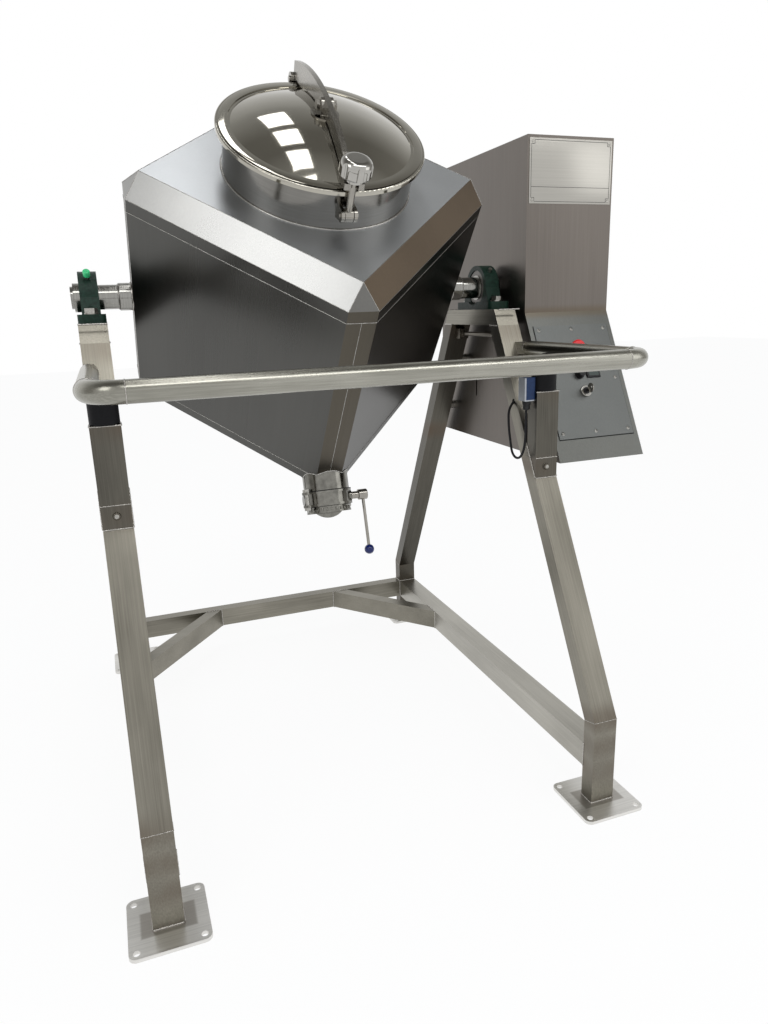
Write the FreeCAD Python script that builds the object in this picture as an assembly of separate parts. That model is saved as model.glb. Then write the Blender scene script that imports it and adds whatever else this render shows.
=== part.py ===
import FreeCAD, Part
import math
import os

# Cubic powder mixer: a bevelled stainless cube that tumbles on a cross axle between two side frames.
# Millimetres. X runs along the axle, Y runs backwards, Z is up.

# Layout
AXLE_HEIGHT = 1200.0
FRAME_HALF_WIDTH = 500.0
VESSEL_TILT = 39.0
RUN_FIT = 0.05
MOVING_GAP = 0.4

# Frame tubes and feet
TUBE_WIDE = 60.0
TUBE_DEEP = 40.0
TUBE_WALL = 3.0
FOOT_Y = 616.0
FOOT_SIDE = 155.0
FOOT_THICK = 8.0
FOOT_CORNER = 15.0
FOOT_HOLE_RADIUS = 7.0
FOOT_PITCH = 126.0
LEG_BEND_Z = 219.0
LEG_TOP_Y = 159.9
BASE_BEAM_Z = 87.0
BRACE_RUN_X = 240.0
BRACE_RUN_Y = 296.0
TIE_DROP = 26.8
TIE_BLOCK_REACH = 97.0
TIE_BLOCK_SIZE = 28.0
TIE_ROD_RADIUS = 6.0
TIE_NUT_ACROSS = 19.0
TIE_NUT_THICK = 10.0

# Axle and pillow blocks
AXLE_RADIUS = 25.0
AXLE_SLEEVE_RADIUS = 27.5
AXLE_LEFT_SHOWN = 40.0
AXLE_IN_REDUCER = 136.0
AXLE_COLLAR_RADIUS = 31.0
AXLE_COLLAR_WIDTH = 30.0
AXLE_COLLAR_EDGE = 2.0
SET_SCREW_RADIUS = 5.0
SET_SCREW_DEPTH = 14.0
RIGHT_BEARING_SHIFT = 8.0
BEARING_CENTRE_HEIGHT = 57.2
BEARING_BASE_LENGTH = 206.0
BEARING_BASE_WIDTH = 60.0
BEARING_BASE_THICK = 20.0
BEARING_BASE_CORNER = 14.0
BEARING_BOLT_PITCH = 159.0
BEARING_BOLT_RADIUS = 8.0
BEARING_BOLT_SLACK = 0.8
BEARING_BOLT_HEAD = 24.0
BEARING_WASHER_RADIUS = 15.0
BEARING_SEAT_SLACK = 1.0
BEARING_WASHER_THICK = 3.0
BEARING_HEAD_THICK = 10.0
BEARING_RING_RADIUS = 57.0
BEARING_RING_WIDTH = 40.0
BEARING_WEB_HALF = 70.0
BEARING_BORE_RADIUS = 45.0
BEARING_INNER_RADIUS = 32.0
BEARING_INSERT_WIDTH = 34.0
LOCK_RING_LONG = 34.0
LOCK_RING_SHORT = 20.0
NIPPLE_RADIUS = 5.0
NIPPLE_HEIGHT = 9.0
NIPPLE_SINK = 1.0
NIPPLE_LEAN = 45.0
GREASE_CAP_RADIUS = 8.0
GREASE_CAP_HEIGHT = 13.0
GREASE_CAP_EDGE = 2.7

# Vessel
VESSEL_HALF = 310.0
VESSEL_BEVEL = 45.0
VESSEL_WALL = 3.0
BEVEL_INSET_RATE = 2.0 - math.sqrt(2.0)
NECK_RADIUS = 205.0
NECK_WALL = 4.0
NECK_RISE = 80.0
NECK_RIM_OUT = 9.0
NECK_RIM_THICK = 4.0
GASKET_HEIGHT = 6.0
GASKET_WIDTH = 12.0
GASKET_EDGE = 2.0
OUTLET_RADIUS = 57.0
OUTLET_WALL = 3.0
OUTLET_TUBE_SHOWN = 18.0

# Lid, arm and swing bolt, in the vessel's own upright axes from its centre
LID_RIM_OUT = 16.0
LID_DOME_IN = 15.0
LID_DOME_RISE = 40.0
LID_SHEET = 3.0
LID_LIP = 9.0
ARM_THICK = 12.0
ARM_CREST = 33.0
ARM_OVER_DOME = 3.0
ARM_SHORT = 32.0
ARM_UNDER_SHARE = 0.9
ARM_SHOULDER_RISE = 46.0
HINGE_OUT = 40.0
HINGE_RISE = 8.0
HINGE_PIN_RADIUS = 7.0
HINGE_EYE_RADIUS = 15.0
EAR_THICK = 7.0
EAR_GAP = 0.6
EAR_TAPER = 0.7
PIN_SHOWN = 3.0
HINGE_FOOT_DROP = 55.0
BOLT_OUT = 26.0
BOLT_PIVOT_DROP = 30.0
BOLT_RADIUS = 7.0
BOLT_EYE_RADIUS = 13.0
BOLT_EYE_WIDTH = 18.0
BOLT_EYE_EDGE = 2.0
BOLT_PIN_RADIUS = 6.0
BOLT_FOOT_DROP = 22.0
FORK_RISE = 42.0
FORK_THICK = 13.0
FORK_WIDTH = 42.0
FORK_SLACK = 0.8
FORK_LIP = 11.0
FORK_CORNER = 3.7
KNOB_GAP = 1.8
KNOB_HUB_RADIUS = 18.0
KNOB_HUB_HEIGHT = 10.0
KNOB_RADIUS = 32.0
KNOB_SCALLOP_RADIUS = 9.0
KNOB_SCALLOP_REACH = 36.5
KNOB_LOBES = 6
KNOB_HEIGHT = 34.0
KNOB_DOME = 15.0
KNOB_EDGE = 5.0
KNOB_CROWN = 8.0
STUD_PLATE_RADIUS = 30.0
STUD_EAR_HALF = 16.0
STUD_BOLT_RADIUS = 6.0
STUD_HEAD_ACROSS = 19.0
STUD_HEAD_THICK = 8.0

# Butterfly valve, with distances along the outlet from the vessel's centre
VALVE_FLANGE_RADIUS = 61.0
VALVE_FLANGE_THICK = 6.0
VALVE_BODY_RADIUS = 57.0
VALVE_BORE_RADIUS = 51.0
VALVE_LENGTH = 38.0
VALVE_LUG_WIDTH = 22.0
VALVE_LUG_REACH = 78.0
VALVE_BOLT_REACH = 70.0
VALVE_LUG_TURN = -30.0
VALVE_BOLT_RADIUS = 5.0
VALVE_BOLT_HEAD = 16.0
VALVE_BOLT_HEAD_THICK = 7.0
FERRULE_RADIUS = 53.0
FERRULE_LENGTH = 17.0
FERRULE_LIP = 3.0
FERRULE_LIP_LENGTH = 5.0
DISC_RADIUS = 49.5
DISC_THICK = 6.0
DISC_EDGE = 2.0
STEM_RADIUS = 6.0
HUB_START = 62.0
HUB_NECK_RADIUS = 9.5
HUB_HEAD_RADIUS = 13.5
HUB_HEAD_START = 80.0
HUB_END = 104.0
HUB_EDGE = 2.2
LEVER_X = 93.0
LEVER_RADIUS = 4.0
LEVER_LENGTH = 142.0
BALL_RADIUS = 12.5

# Guard rail and its posts
RAIL_RADIUS = 19.0
RAIL_WALL = 2.0
RAIL_DROP = 154.0
RAIL_FRONT_Y = -690.0
RAIL_ARM_SHIFT = 18.0
RAIL_BEND_RADIUS = 57.0
RAIL_PIN_OUT = 24.5
RAIL_PIN_RADIUS = 5.0
RAIL_PIN_HEAD_RADIUS = 8.0
RAIL_PIN_HEAD_THICK = 2.5
RAIL_ARM_GAP = 21.0
RAIL_TONGUE_THICK = 10.0
RAIL_TONGUE_RADIUS = 13.0
RAIL_EAR_RADIUS = 15.0
RAIL_EAR_THICK = 6.0
RAIL_EAR_GAP = 0.5
POST_LENGTH = 211.4
POST_TOP_DROP = 94.0
PAD_TOP_DROP = 16.0
PAD_RADIUS = 29.5
PAD_EDGE = 3.0
POST_BOLT_DROP = 184.0
POST_BOLT_RADIUS = 8.0
POST_BOLT_HEIGHT = 5.0

# Interlock switch and its cable
SWITCH_WIDE = 28.0
SWITCH_DEEP = 32.0
SWITCH_TALL = 55.0
SWITCH_DROP = 22.0
SWITCH_INSET = 2.0
SWITCH_PLATE = 1.5
SWITCH_EDGE = 3.0
GLAND_NUT_ACROSS = 20.0
GLAND_NUT_HEIGHT = 9.0
GLAND_RADIUS = 8.5
GLAND_HEIGHT = 22.0
GLAND_EDGE = 2.8
CABLE_RADIUS = 3.0
CABLE_HOLE_SLACK = 3.5
CABLE_LEG_INSET = 15.0
CABLE_LEG_DROP = 12.0
CABLE_FROM_GLAND = (
    (0.0, 0.0, 0.0),
    (0.0, 0.0, -46.0),
    (-1.0, 2.0, -90.0),
    (-3.0, 15.0, -118.0),
    (-5.0, 35.0, -126.0),
    (-6.0, 55.0, -115.0),
)
CABLE_INTO_LEG = (
    (-21.0, -24.0, -98.0),
    (-20.0, -12.0, -60.0),
    (-16.0, -3.0, -14.0),
    (2.0, 0.0, 0.0),
)
CABLE_BEND_SHARE = 0.45

# Drive housing
COVER_GAP = 18.0
COVER_WIDE = 250.0
COVER_FRONT_Y = -160.0
COVER_REAR_Y = 350.0
COVER_TOP_RISE = 353.0
COVER_FOLD_DROP = 69.0
COVER_BOTTOM_DROP = 432.0
COVER_FLARE = 26.85
COVER_SHEET = 2.0
COVER_AXLE_GAP = 4.0
SLIT_HALF_WIDTH = 3.0
SLIT_DROP = 307.0
SLIT_TALL = 47.0
SLIT_Y = (112.0, -107.0)
SPACER_RADIUS = 12.0
SPACER_DROPS = (200.0, 350.0)
SPACER_BOLT_RADIUS = 5.0
SPACER_BOLT_SLACK = 0.3
SPACER_BOLT_HEAD = 17.0
SPACER_HEAD_THICK = 6.4
PANEL_MARGIN = 14.0
PANEL_TOP_DROP = 35.0
PANEL_BOTTOM_DROP = 310.0
PANEL_SHEET = 2.0
PANEL_LAP = 14.0
PANEL_SCREW_MARGIN = 27.0
PANEL_SCREW_RADIUS = 5.5
PANEL_SCREW_RISE = 3.0
PANEL_SCREW_SHANK = 2.5
PANEL_SCREW_HOLE = 6.0
PANEL_SCREW_DROPS = (45.0, 170.0, 296.0)

# Panel controls
STOP_IN = 122.0
STOP_DROP = 97.0
STOP_HOLE_RADIUS = 11.0
STOP_COLLAR_RADIUS = 16.0
STOP_COLLAR_HEIGHT = 6.0
STOP_HEAD_RADIUS = 20.0
STOP_HEAD_HEIGHT = 13.0
STOP_TRAVEL = 5.0
STOP_NECK_RADIUS = 9.0
STOP_BLOCK = 30.0
STOP_BLOCK_DEEP = 42.0
KEY_IN = 121.0
KEY_DROP = 200.0
KEY_BEZEL_RADIUS = 15.0
KEY_BEZEL_HEIGHT = 7.0
KEY_CORE_RADIUS = 9.0
KEY_CORE_RISE = 1.5
KEY_BLADE_WIDTH = 8.0
KEY_BLADE_THICK = 2.2
KEY_BLADE_LENGTH = 10.0
KEY_BOW_RADIUS = 12.0
KEY_HOLE_RADIUS = 3.0
DIAL_IN = 116.5
DIAL_DROP = 157.0
DIAL_RADIUS = 11.0
DIAL_HEIGHT = 15.0
DIAL_SKIRT_RADIUS = 13.0
DIAL_SKIRT_HEIGHT = 3.0
DIAL_SHAFT_RADIUS = 3.0
DISPLAY_IN = 157.0
DISPLAY_WIDE = 40.0
DISPLAY_TALL = 24.0
DISPLAY_RISE = 4.0
DISPLAY_DEEP = 30.0
CONTROL_EDGE = 1.2

# Gear reducer and motor inside the housing
REDUCER_HALF = 50.0
REDUCER_IN = 67.0
REDUCER_RADIUS = 84.0
REDUCER_HUB_RADIUS = 62.0
REDUCER_BOSS_RADIUS = 44.0
WORM_DROP = 75.0
WORM_HALF_HIGH = 48.0
WORM_HALF_LONG = 86.0
WORM_EDGE = 16.0
MOTOR_FLANGE_RADIUS = 62.0
MOTOR_FLANGE_THICK = 12.0
MOTOR_RADIUS = 56.0
MOTOR_LENGTH = 190.0
MOTOR_FIN_COUNT = 20
MOTOR_FIN_HEIGHT = 8.0
MOTOR_FIN_THICK = 3.0
MOTOR_COWL_RADIUS = 63.0
MOTOR_COWL_LENGTH = 50.0
TERMINAL_WIDE = 36.0
TERMINAL_LONG = 90.0
TERMINAL_TALL = 74.0
TERMINAL_EDGE = 4.0

# Values worked out from the sizes above
V = FreeCAD.Vector
AXIS_X = V(1, 0, 0)
AXIS_Y = V(0, 1, 0)
AXIS_Z = V(0, 0, 1)
BEAM_TOP = AXLE_HEIGHT - BEARING_CENTRE_HEIGHT
BEAM_BOTTOM = BEAM_TOP - TUBE_DEEP
TIE_Z = BEAM_BOTTOM - TIE_DROP
FOOT_FRONT = FOOT_Y + TUBE_DEEP / 2
LEAN = math.atan2(FOOT_FRONT - LEG_TOP_Y, BEAM_BOTTOM - LEG_BEND_Z)
BASE_TOP = BASE_BEAM_Z + TUBE_WIDE
LEG_INNER_X = FRAME_HALF_WIDTH - TUBE_WIDE / 2
LEG_OUTER_X = FRAME_HALF_WIDTH + TUBE_WIDE / 2
BRACE_ON_REAR_X = LEG_INNER_X - BRACE_RUN_X
BRACE_ON_SIDE_Y = FOOT_FRONT - TUBE_DEEP - BRACE_RUN_Y
COVER_LEFT_X = LEG_OUTER_X + COVER_GAP
COVER_RIGHT_X = COVER_LEFT_X + COVER_WIDE
COVER_TOP_Z = AXLE_HEIGHT + COVER_TOP_RISE
COVER_FOLD_Z = AXLE_HEIGHT - COVER_FOLD_DROP
COVER_BOTTOM_Z = AXLE_HEIGHT - COVER_BOTTOM_DROP
SLIT_Z = AXLE_HEIGHT - SLIT_DROP
FLARE_SLOPE = math.tan(math.radians(COVER_FLARE))
PANEL_TURN = 90.0 - COVER_FLARE
PANEL_TOP_Z = COVER_FOLD_Z - PANEL_TOP_DROP
PANEL_BOTTOM_Z = COVER_FOLD_Z - PANEL_BOTTOM_DROP
STOP_X = COVER_LEFT_X + STOP_IN
STOP_Z = COVER_FOLD_Z - STOP_DROP
KEY_X = COVER_LEFT_X + KEY_IN
KEY_Z = COVER_FOLD_Z - KEY_DROP
DIAL_X = COVER_LEFT_X + DIAL_IN
DIAL_Z = COVER_FOLD_Z - DIAL_DROP
DISPLAY_X = COVER_LEFT_X + DISPLAY_IN
REDUCER_X = COVER_LEFT_X + REDUCER_IN
RIGHT_BEARING_X = FRAME_HALF_WIDTH + RIGHT_BEARING_SHIFT
AXLE_LEFT_END = FRAME_HALF_WIDTH + AXLE_LEFT_SHOWN
AXLE_RIGHT_END = COVER_LEFT_X + AXLE_IN_REDUCER
OUTLET_TURN = 90.0 + math.degrees(math.atan(1 / math.sqrt(2)))
BEVEL_X = (2 * VESSEL_HALF - VESSEL_BEVEL) / math.sqrt(2)
CORNER_K = (3 * VESSEL_HALF - 2 * VESSEL_BEVEL) / math.sqrt(3)
OUTLET_TUBE_END = CORNER_K + OUTLET_TUBE_SHOWN
VALVE_STEM_K = OUTLET_TUBE_END + VALVE_LENGTH / 2
NECK_TOP = VESSEL_HALF + NECK_RISE
NECK_RIM_RADIUS = NECK_RADIUS + NECK_RIM_OUT
LID_RADIUS = NECK_RADIUS + LID_RIM_OUT
LID_DOME_RADIUS = NECK_RADIUS - LID_DOME_IN
GASKET_TOP = NECK_TOP + NECK_RIM_THICK + GASKET_HEIGHT
LID_BOTTOM = GASKET_TOP + MOVING_GAP
LID_TOP = LID_BOTTOM + LID_SHEET
DOME_TOP = LID_TOP + LID_DOME_RISE
DOME_SPHERE = (LID_DOME_RADIUS ** 2 + LID_DOME_RISE ** 2) / (2 * LID_DOME_RISE)
ARM_REACH = LID_DOME_RADIUS - ARM_SHORT
HINGE_Y = NECK_RADIUS + HINGE_OUT
HINGE_Z = NECK_TOP + HINGE_RISE
BOLT_Y = -NECK_RADIUS - BOLT_OUT
BOLT_PIVOT_Z = NECK_TOP - BOLT_PIVOT_DROP
FORK_TOP_Z = NECK_TOP + FORK_RISE
KNOB_BOTTOM = FORK_TOP_Z + KNOB_GAP
KNOB_TOP = KNOB_BOTTOM + KNOB_HUB_HEIGHT + KNOB_HEIGHT
RAIL_Z = AXLE_HEIGHT - RAIL_DROP
RAIL_ARM_X = FRAME_HALF_WIDTH + RAIL_ARM_SHIFT
RAIL_PIN_Y = (RAIL_Z - LEG_BEND_Z) * math.tan(LEAN) - FOOT_FRONT - RAIL_PIN_OUT
POST_TOP_Z = RAIL_Z - POST_TOP_DROP
POST_FRONT_Y = (POST_TOP_Z - POST_LENGTH - LEG_BEND_Z) * math.tan(LEAN) - FOOT_FRONT
POST_REAR_Y = POST_FRONT_Y + TUBE_DEEP
POST_BOLT_Z = POST_TOP_Z - POST_BOLT_DROP
PAD_TOP_Z = RAIL_Z - PAD_TOP_DROP
SWITCH_BOTTOM_Z = POST_TOP_Z - SWITCH_DROP
SWITCH_BACK_Y = POST_REAR_Y - SWITCH_INSET
CABLE_LEG_Z = SWITCH_BOTTOM_Z - CABLE_LEG_DROP
CABLE_LEG_Y = (CABLE_LEG_Z - LEG_BEND_Z) * math.tan(LEAN) - FOOT_FRONT + CABLE_LEG_INSET
ORIGIN_X = (COVER_RIGHT_X - FRAME_HALF_WIDTH - FOOT_SIDE / 2) / 2
ORIGIN_Y = (RAIL_FRONT_Y - RAIL_RADIUS + FOOT_Y + FOOT_SIDE / 2) / 2

nodes = {}


def block(x0, x1, y0, y1, z0, z1):
    return Part.makeBox(x1 - x0, y1 - y0, z1 - z0, V(x0, y0, z0))


def prism_x(outline, x0, x1):
    corners = [V(x0, y, z) for y, z in outline]
    return Part.Face(Part.makePolygon(corners + corners[:1])).extrude(V(x1 - x0, 0, 0))


def prism_z(outline, z0, z1):
    corners = [V(x, y, z0) for x, y in outline]
    return Part.Face(Part.makePolygon(corners + corners[:1])).extrude(V(0, 0, z1 - z0))


def rod(start, axis, radius, length):
    return Part.makeCylinder(radius, length, start, axis)


def tube(start, axis, radius, inner, length):
    return rod(start, axis, radius, length).cut(rod(start, axis, inner, length))


def hexagon(start, axis, across, height):
    corner = across / math.sqrt(3)
    turns = [math.radians(60 * i) for i in range(6)]
    shape = prism_z([(corner * math.cos(t), corner * math.sin(t)) for t in turns], 0, height)
    shape.Placement = FreeCAD.Placement(start, FreeCAD.Rotation(AXIS_Z, axis))
    return shape


def fused(shapes):
    return shapes[0].multiFuse(shapes[1:]).removeSplitter()


def mirrored(shape, axis):
    return shape.mirror(V(0, 0, 0), axis)


def moved(shape, x=0.0, y=0.0, z=0.0):
    copy = shape.copy()
    copy.translate(V(x, y, z))
    return copy


def turned_x(shape, degrees):
    copy = shape.copy()
    copy.rotate(V(0, 0, 0), AXIS_X, degrees)
    return copy


def on_vessel(shape):
    return moved(turned_x(shape, VESSEL_TILT), z=AXLE_HEIGHT)


def on_outlet(shape):
    return on_vessel(turned_x(shape, OUTLET_TURN))


def side_pair(name, shape):
    nodes["left_" + name] = mirrored(shape, AXIS_X)
    nodes["right_" + name] = shape


# Side frames: each leg is one tube bent once, upright on its foot and leaning in to the top beam.
def leg_front_y(z):
    return -FOOT_FRONT + (z - LEG_BEND_Z) * math.tan(LEAN)


def leg_front_z(y):
    return LEG_BEND_Z + (y + FOOT_FRONT) / math.tan(LEAN)


def leg_outline(inset):
    far = TUBE_DEEP - inset
    half_turn = math.tan(LEAN / 2)
    top_y = leg_front_y(BEAM_BOTTOM)
    return [
        (-FOOT_FRONT + inset, FOOT_THICK),
        (-FOOT_FRONT + inset, LEG_BEND_Z - inset * half_turn),
        (top_y + inset / math.cos(LEAN), BEAM_BOTTOM),
        (top_y + far / math.cos(LEAN), BEAM_BOTTOM),
        (-FOOT_FRONT + far, LEG_BEND_Z - far * half_turn),
        (-FOOT_FRONT + far, FOOT_THICK),
    ]


def front_leg():
    skin = prism_x(leg_outline(0.0), LEG_INNER_X, LEG_OUTER_X)
    core = prism_x(leg_outline(TUBE_WALL), LEG_INNER_X + TUBE_WALL, LEG_OUTER_X - TUBE_WALL)
    return skin.cut(core)


def top_beam():
    def outline(inset):
        low = BEAM_BOTTOM + inset
        high = BEAM_TOP - inset
        low_y = leg_front_y(low) + inset / math.cos(LEAN)
        high_y = leg_front_y(high) + inset / math.cos(LEAN)
        return [(low_y, low), (high_y, high), (-high_y, high), (-low_y, low)]
    skin = prism_x(outline(0.0), LEG_INNER_X, LEG_OUTER_X)
    core = prism_x(outline(TUBE_WALL), LEG_INNER_X + TUBE_WALL, LEG_OUTER_X - TUBE_WALL)
    return skin.cut(core)


def bearing_bolt_holes(bearing_x, radius):
    low = V(bearing_x, 0, BEAM_TOP - TUBE_WALL)
    depth = TUBE_WALL + BEARING_BASE_THICK
    return [rod(low + V(0, side * BEARING_BOLT_PITCH / 2, 0), AXIS_Z, radius, depth) for side in (-1, 1)]


def foot_plate():
    half = FOOT_SIDE / 2
    plate = block(-half, half, -half, half, 0, FOOT_THICK)
    uprights = [e for e in plate.Edges if abs(e.Vertexes[0].Z - e.Vertexes[1].Z) > FOOT_THICK / 2]
    plate = plate.makeFillet(FOOT_CORNER, uprights)
    reach = FOOT_PITCH / 2
    for x in (-reach, reach):
        for y in (-reach, reach):
            plate = plate.cut(rod(V(x, y, 0), AXIS_Z, FOOT_HOLE_RADIUS, FOOT_THICK))
    return plate


def base_beam():
    reach = FOOT_FRONT - TUBE_DEEP
    skin = block(LEG_INNER_X, LEG_OUTER_X, -reach, reach, BASE_BEAM_Z, BASE_TOP)
    wall = TUBE_WALL
    core = block(LEG_INNER_X + wall, LEG_OUTER_X - wall, -reach, reach, BASE_BEAM_Z + wall, BASE_TOP - wall)
    return skin.cut(core)


def rear_beam():
    near = FOOT_FRONT - TUBE_DEEP
    wall = TUBE_WALL
    skin = block(-LEG_INNER_X, LEG_INNER_X, near, FOOT_FRONT, BASE_BEAM_Z, BASE_TOP)
    far = FOOT_FRONT - wall
    core = block(-LEG_INNER_X, LEG_INNER_X, near + wall, far, BASE_BEAM_Z + wall, BASE_TOP - wall)
    return skin.cut(core)


def corner_brace():
    rear_y = FOOT_FRONT - TUBE_DEEP
    start = V(BRACE_ON_REAR_X, rear_y, 0)
    run = V(LEG_INNER_X, BRACE_ON_SIDE_Y, 0) - start
    along = V(run.x, run.y, 0).normalize()
    across = V(along.y, -along.x, 0)
    overrun = along * TUBE_WIDE

    def bar(half_width, low, high):
        ends = [start - overrun, start + run + overrun]
        corners = [ends[0] + across * half_width, ends[1] + across * half_width,
                   ends[1] - across * half_width, ends[0] - across * half_width]
        return prism_z([(c.x, c.y) for c in corners], low, high)

    skin = bar(TUBE_DEEP / 2, BASE_BEAM_Z, BASE_TOP)
    core = bar(TUBE_DEEP / 2 - TUBE_WALL, BASE_BEAM_Z + TUBE_WALL, BASE_TOP - TUBE_WALL)
    room = block(0, LEG_INNER_X, 0, rear_y, BASE_BEAM_Z, BASE_TOP)
    return skin.cut(core).common(room)


def leg_rear_y(z):
    return leg_front_y(z) + TUBE_DEEP / math.cos(LEAN)


def tie_rod_set():
    low = TIE_Z - TIE_BLOCK_SIZE / 2
    high = low + TIE_BLOCK_SIZE
    half = TIE_BLOCK_SIZE / 2
    centre = FRAME_HALF_WIDTH
    outline = [(leg_rear_y(low), low), (-TIE_BLOCK_REACH, low), (-TIE_BLOCK_REACH, high),
               (leg_rear_y(high), high)]
    cheek = prism_x(outline, centre - half, centre + half)
    bar = rod(V(centre, -TIE_BLOCK_REACH, TIE_Z), AXIS_Y, TIE_ROD_RADIUS, 2 * TIE_BLOCK_REACH)
    nuts = []
    for y in (-TIE_BLOCK_REACH, TIE_BLOCK_REACH - TIE_NUT_THICK):
        nuts.append(hexagon(V(centre, y, TIE_Z), AXIS_Y, TIE_NUT_ACROSS, TIE_NUT_THICK))
    return fused([bar, cheek, mirrored(cheek, AXIS_Y)] + nuts)


# Pillow blocks: cast housing, bearing ring pressed in it, two bolts and a grease nipple.
def bearing_housing(bearing_x):
    half_long = BEARING_BASE_LENGTH / 2
    half_wide = BEARING_BASE_WIDTH / 2
    low = -BEARING_CENTRE_HEIGHT
    top = low + BEARING_BASE_THICK
    base = block(-half_wide, half_wide, -half_long, half_long, low, top)
    uprights = [e for e in base.Edges if abs(e.Vertexes[0].Z - e.Vertexes[1].Z) > BEARING_BASE_THICK / 2]
    base = base.makeFillet(BEARING_BASE_CORNER, uprights)
    ring_half = BEARING_RING_WIDTH / 2
    barrel = rod(V(-ring_half, 0, 0), AXIS_X, BEARING_RING_RADIUS, BEARING_RING_WIDTH)
    web = prism_x([(-BEARING_WEB_HALF, top), (-BEARING_RING_RADIUS, 0), (BEARING_RING_RADIUS, 0),
                   (BEARING_WEB_HALF, top), (BEARING_WEB_HALF, low), (-BEARING_WEB_HALF, low)],
                  -ring_half, ring_half)
    room = block(-ring_half, ring_half, -BEARING_WEB_HALF, BEARING_WEB_HALF, low, BEARING_RING_RADIUS)
    web = web.common(room)
    seat_radius = BEARING_WASHER_RADIUS + BEARING_SEAT_SLACK
    seats = []
    for side in (-1, 1):
        foot = V(0, side * BEARING_BOLT_PITCH / 2, top)
        seats.append(rod(foot, AXIS_Z, seat_radius, BEARING_RING_RADIUS))
    shape = fused([base, barrel, web])
    for seat in seats:
        shape = shape.cut(seat)
    shape = shape.cut(rod(V(-half_wide, 0, 0), AXIS_X, BEARING_BORE_RADIUS, BEARING_BASE_WIDTH))
    shape = moved(shape, bearing_x, 0, AXLE_HEIGHT)
    for hole in bearing_bolt_holes(bearing_x, BEARING_BOLT_RADIUS + BEARING_BOLT_SLACK):
        shape = shape.cut(hole)
    return shape


def bearing_insert(bearing_x):
    start = V(bearing_x - BEARING_INSERT_WIDTH / 2, 0, AXLE_HEIGHT)
    outer = BEARING_BORE_RADIUS - RUN_FIT
    return tube(start, AXIS_X, outer, BEARING_INNER_RADIUS + RUN_FIT, BEARING_INSERT_WIDTH)


def bearing_bolts(bearing_x):
    bolts = []
    top = BEAM_TOP + BEARING_BASE_THICK
    for side in (-1, 1):
        seat = V(bearing_x, side * BEARING_BOLT_PITCH / 2, top)
        shank_length = BEARING_BASE_THICK + TUBE_WALL
        shank = rod(seat - V(0, 0, shank_length), AXIS_Z, BEARING_BOLT_RADIUS, shank_length)
        washer = rod(seat, AXIS_Z, BEARING_WASHER_RADIUS, BEARING_WASHER_THICK)
        head = hexagon(seat + V(0, 0, BEARING_WASHER_THICK), AXIS_Z, BEARING_BOLT_HEAD, BEARING_HEAD_THICK)
        bolts.append(fused([shank, washer, head]))
    return bolts


def on_ring(shape, bearing_x):
    # The shape stands on the bearing ring's top and leans forward round the ring with it.
    return moved(turned_x(moved(shape, z=BEARING_RING_RADIUS), NIPPLE_LEAN), bearing_x, 0, AXLE_HEIGHT)


def grease_nipple(bearing_x):
    half = BEARING_RING_WIDTH / 2
    stem = rod(V(0, 0, -NIPPLE_SINK), AXIS_Z, NIPPLE_RADIUS, NIPPLE_HEIGHT + NIPPLE_SINK)
    barrel = rod(V(-half, 0, -BEARING_RING_RADIUS), AXIS_X, BEARING_RING_RADIUS, BEARING_RING_WIDTH)
    return on_ring(stem.cut(barrel), bearing_x)


def grease_cap(bearing_x):
    cap = rod(V(0, 0, NIPPLE_HEIGHT), AXIS_Z, GREASE_CAP_RADIUS, GREASE_CAP_HEIGHT)
    return on_ring(cap.makeFillet(GREASE_CAP_EDGE, [cap.Edges[0]]), bearing_x)


# Vessel: a cube with every edge and corner bevelled, made as a closed shell of flat plates.
def bevelled_cube(half, bevel):
    flat = half - bevel
    signs = (-1, 1)

    def point(values, axes):
        place = [0.0, 0.0, 0.0]
        for value, axis in zip(values, axes):
            place[axis] = value
        return V(*place)

    def plate(corners):
        return Part.Face(Part.makePolygon(corners + corners[:1]))

    plates = []
    around = ((-1, -1), (1, -1), (1, 1), (-1, 1))
    for axes in ((0, 1, 2), (1, 2, 0), (2, 0, 1)):
        for s in signs:
            plates.append(plate([point((s * half, a * flat, b * flat), axes) for a, b in around]))
            for t in signs:
                first = [point((s * half, t * flat, e * flat), axes) for e in signs]
                second = [point((s * flat, t * half, e * flat), axes) for e in (1, -1)]
                plates.append(plate(first + second))
    for s in signs:
        for t in signs:
            for u in signs:
                plates.append(plate([V(s * half, t * flat, u * flat), V(s * flat, t * half, u * flat),
                                     V(s * flat, t * flat, u * half)]))
    solid = Part.Solid(Part.makeShell(plates))
    if solid.Volume < 0:
        solid.reverse()
    solid.rotate(V(0, 0, 0), AXIS_Z, 45)
    return solid


def vessel_outside():
    return bevelled_cube(VESSEL_HALF, VESSEL_BEVEL)


def vessel_shell():
    inner_bevel = VESSEL_BEVEL - BEVEL_INSET_RATE * VESSEL_WALL
    shell = vessel_outside().cut(bevelled_cube(VESSEL_HALF - VESSEL_WALL, inner_bevel))
    mouth = rod(V(0, 0, 0), AXIS_Z, NECK_RADIUS - NECK_WALL, VESSEL_HALF + VESSEL_WALL)
    drain = turned_x(rod(V(0, 0, 0), AXIS_Z, OUTLET_RADIUS - OUTLET_WALL, OUTLET_TUBE_END), OUTLET_TURN)
    return shell.cut(mouth).cut(drain)


def manway_neck():
    wall = tube(V(0, 0, VESSEL_HALF), AXIS_Z, NECK_RADIUS, NECK_RADIUS - NECK_WALL, NECK_TOP - VESSEL_HALF)
    rim = tube(V(0, 0, NECK_TOP), AXIS_Z, NECK_RIM_RADIUS, NECK_RADIUS - NECK_WALL, NECK_RIM_THICK)
    return fused([wall, rim])


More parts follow.
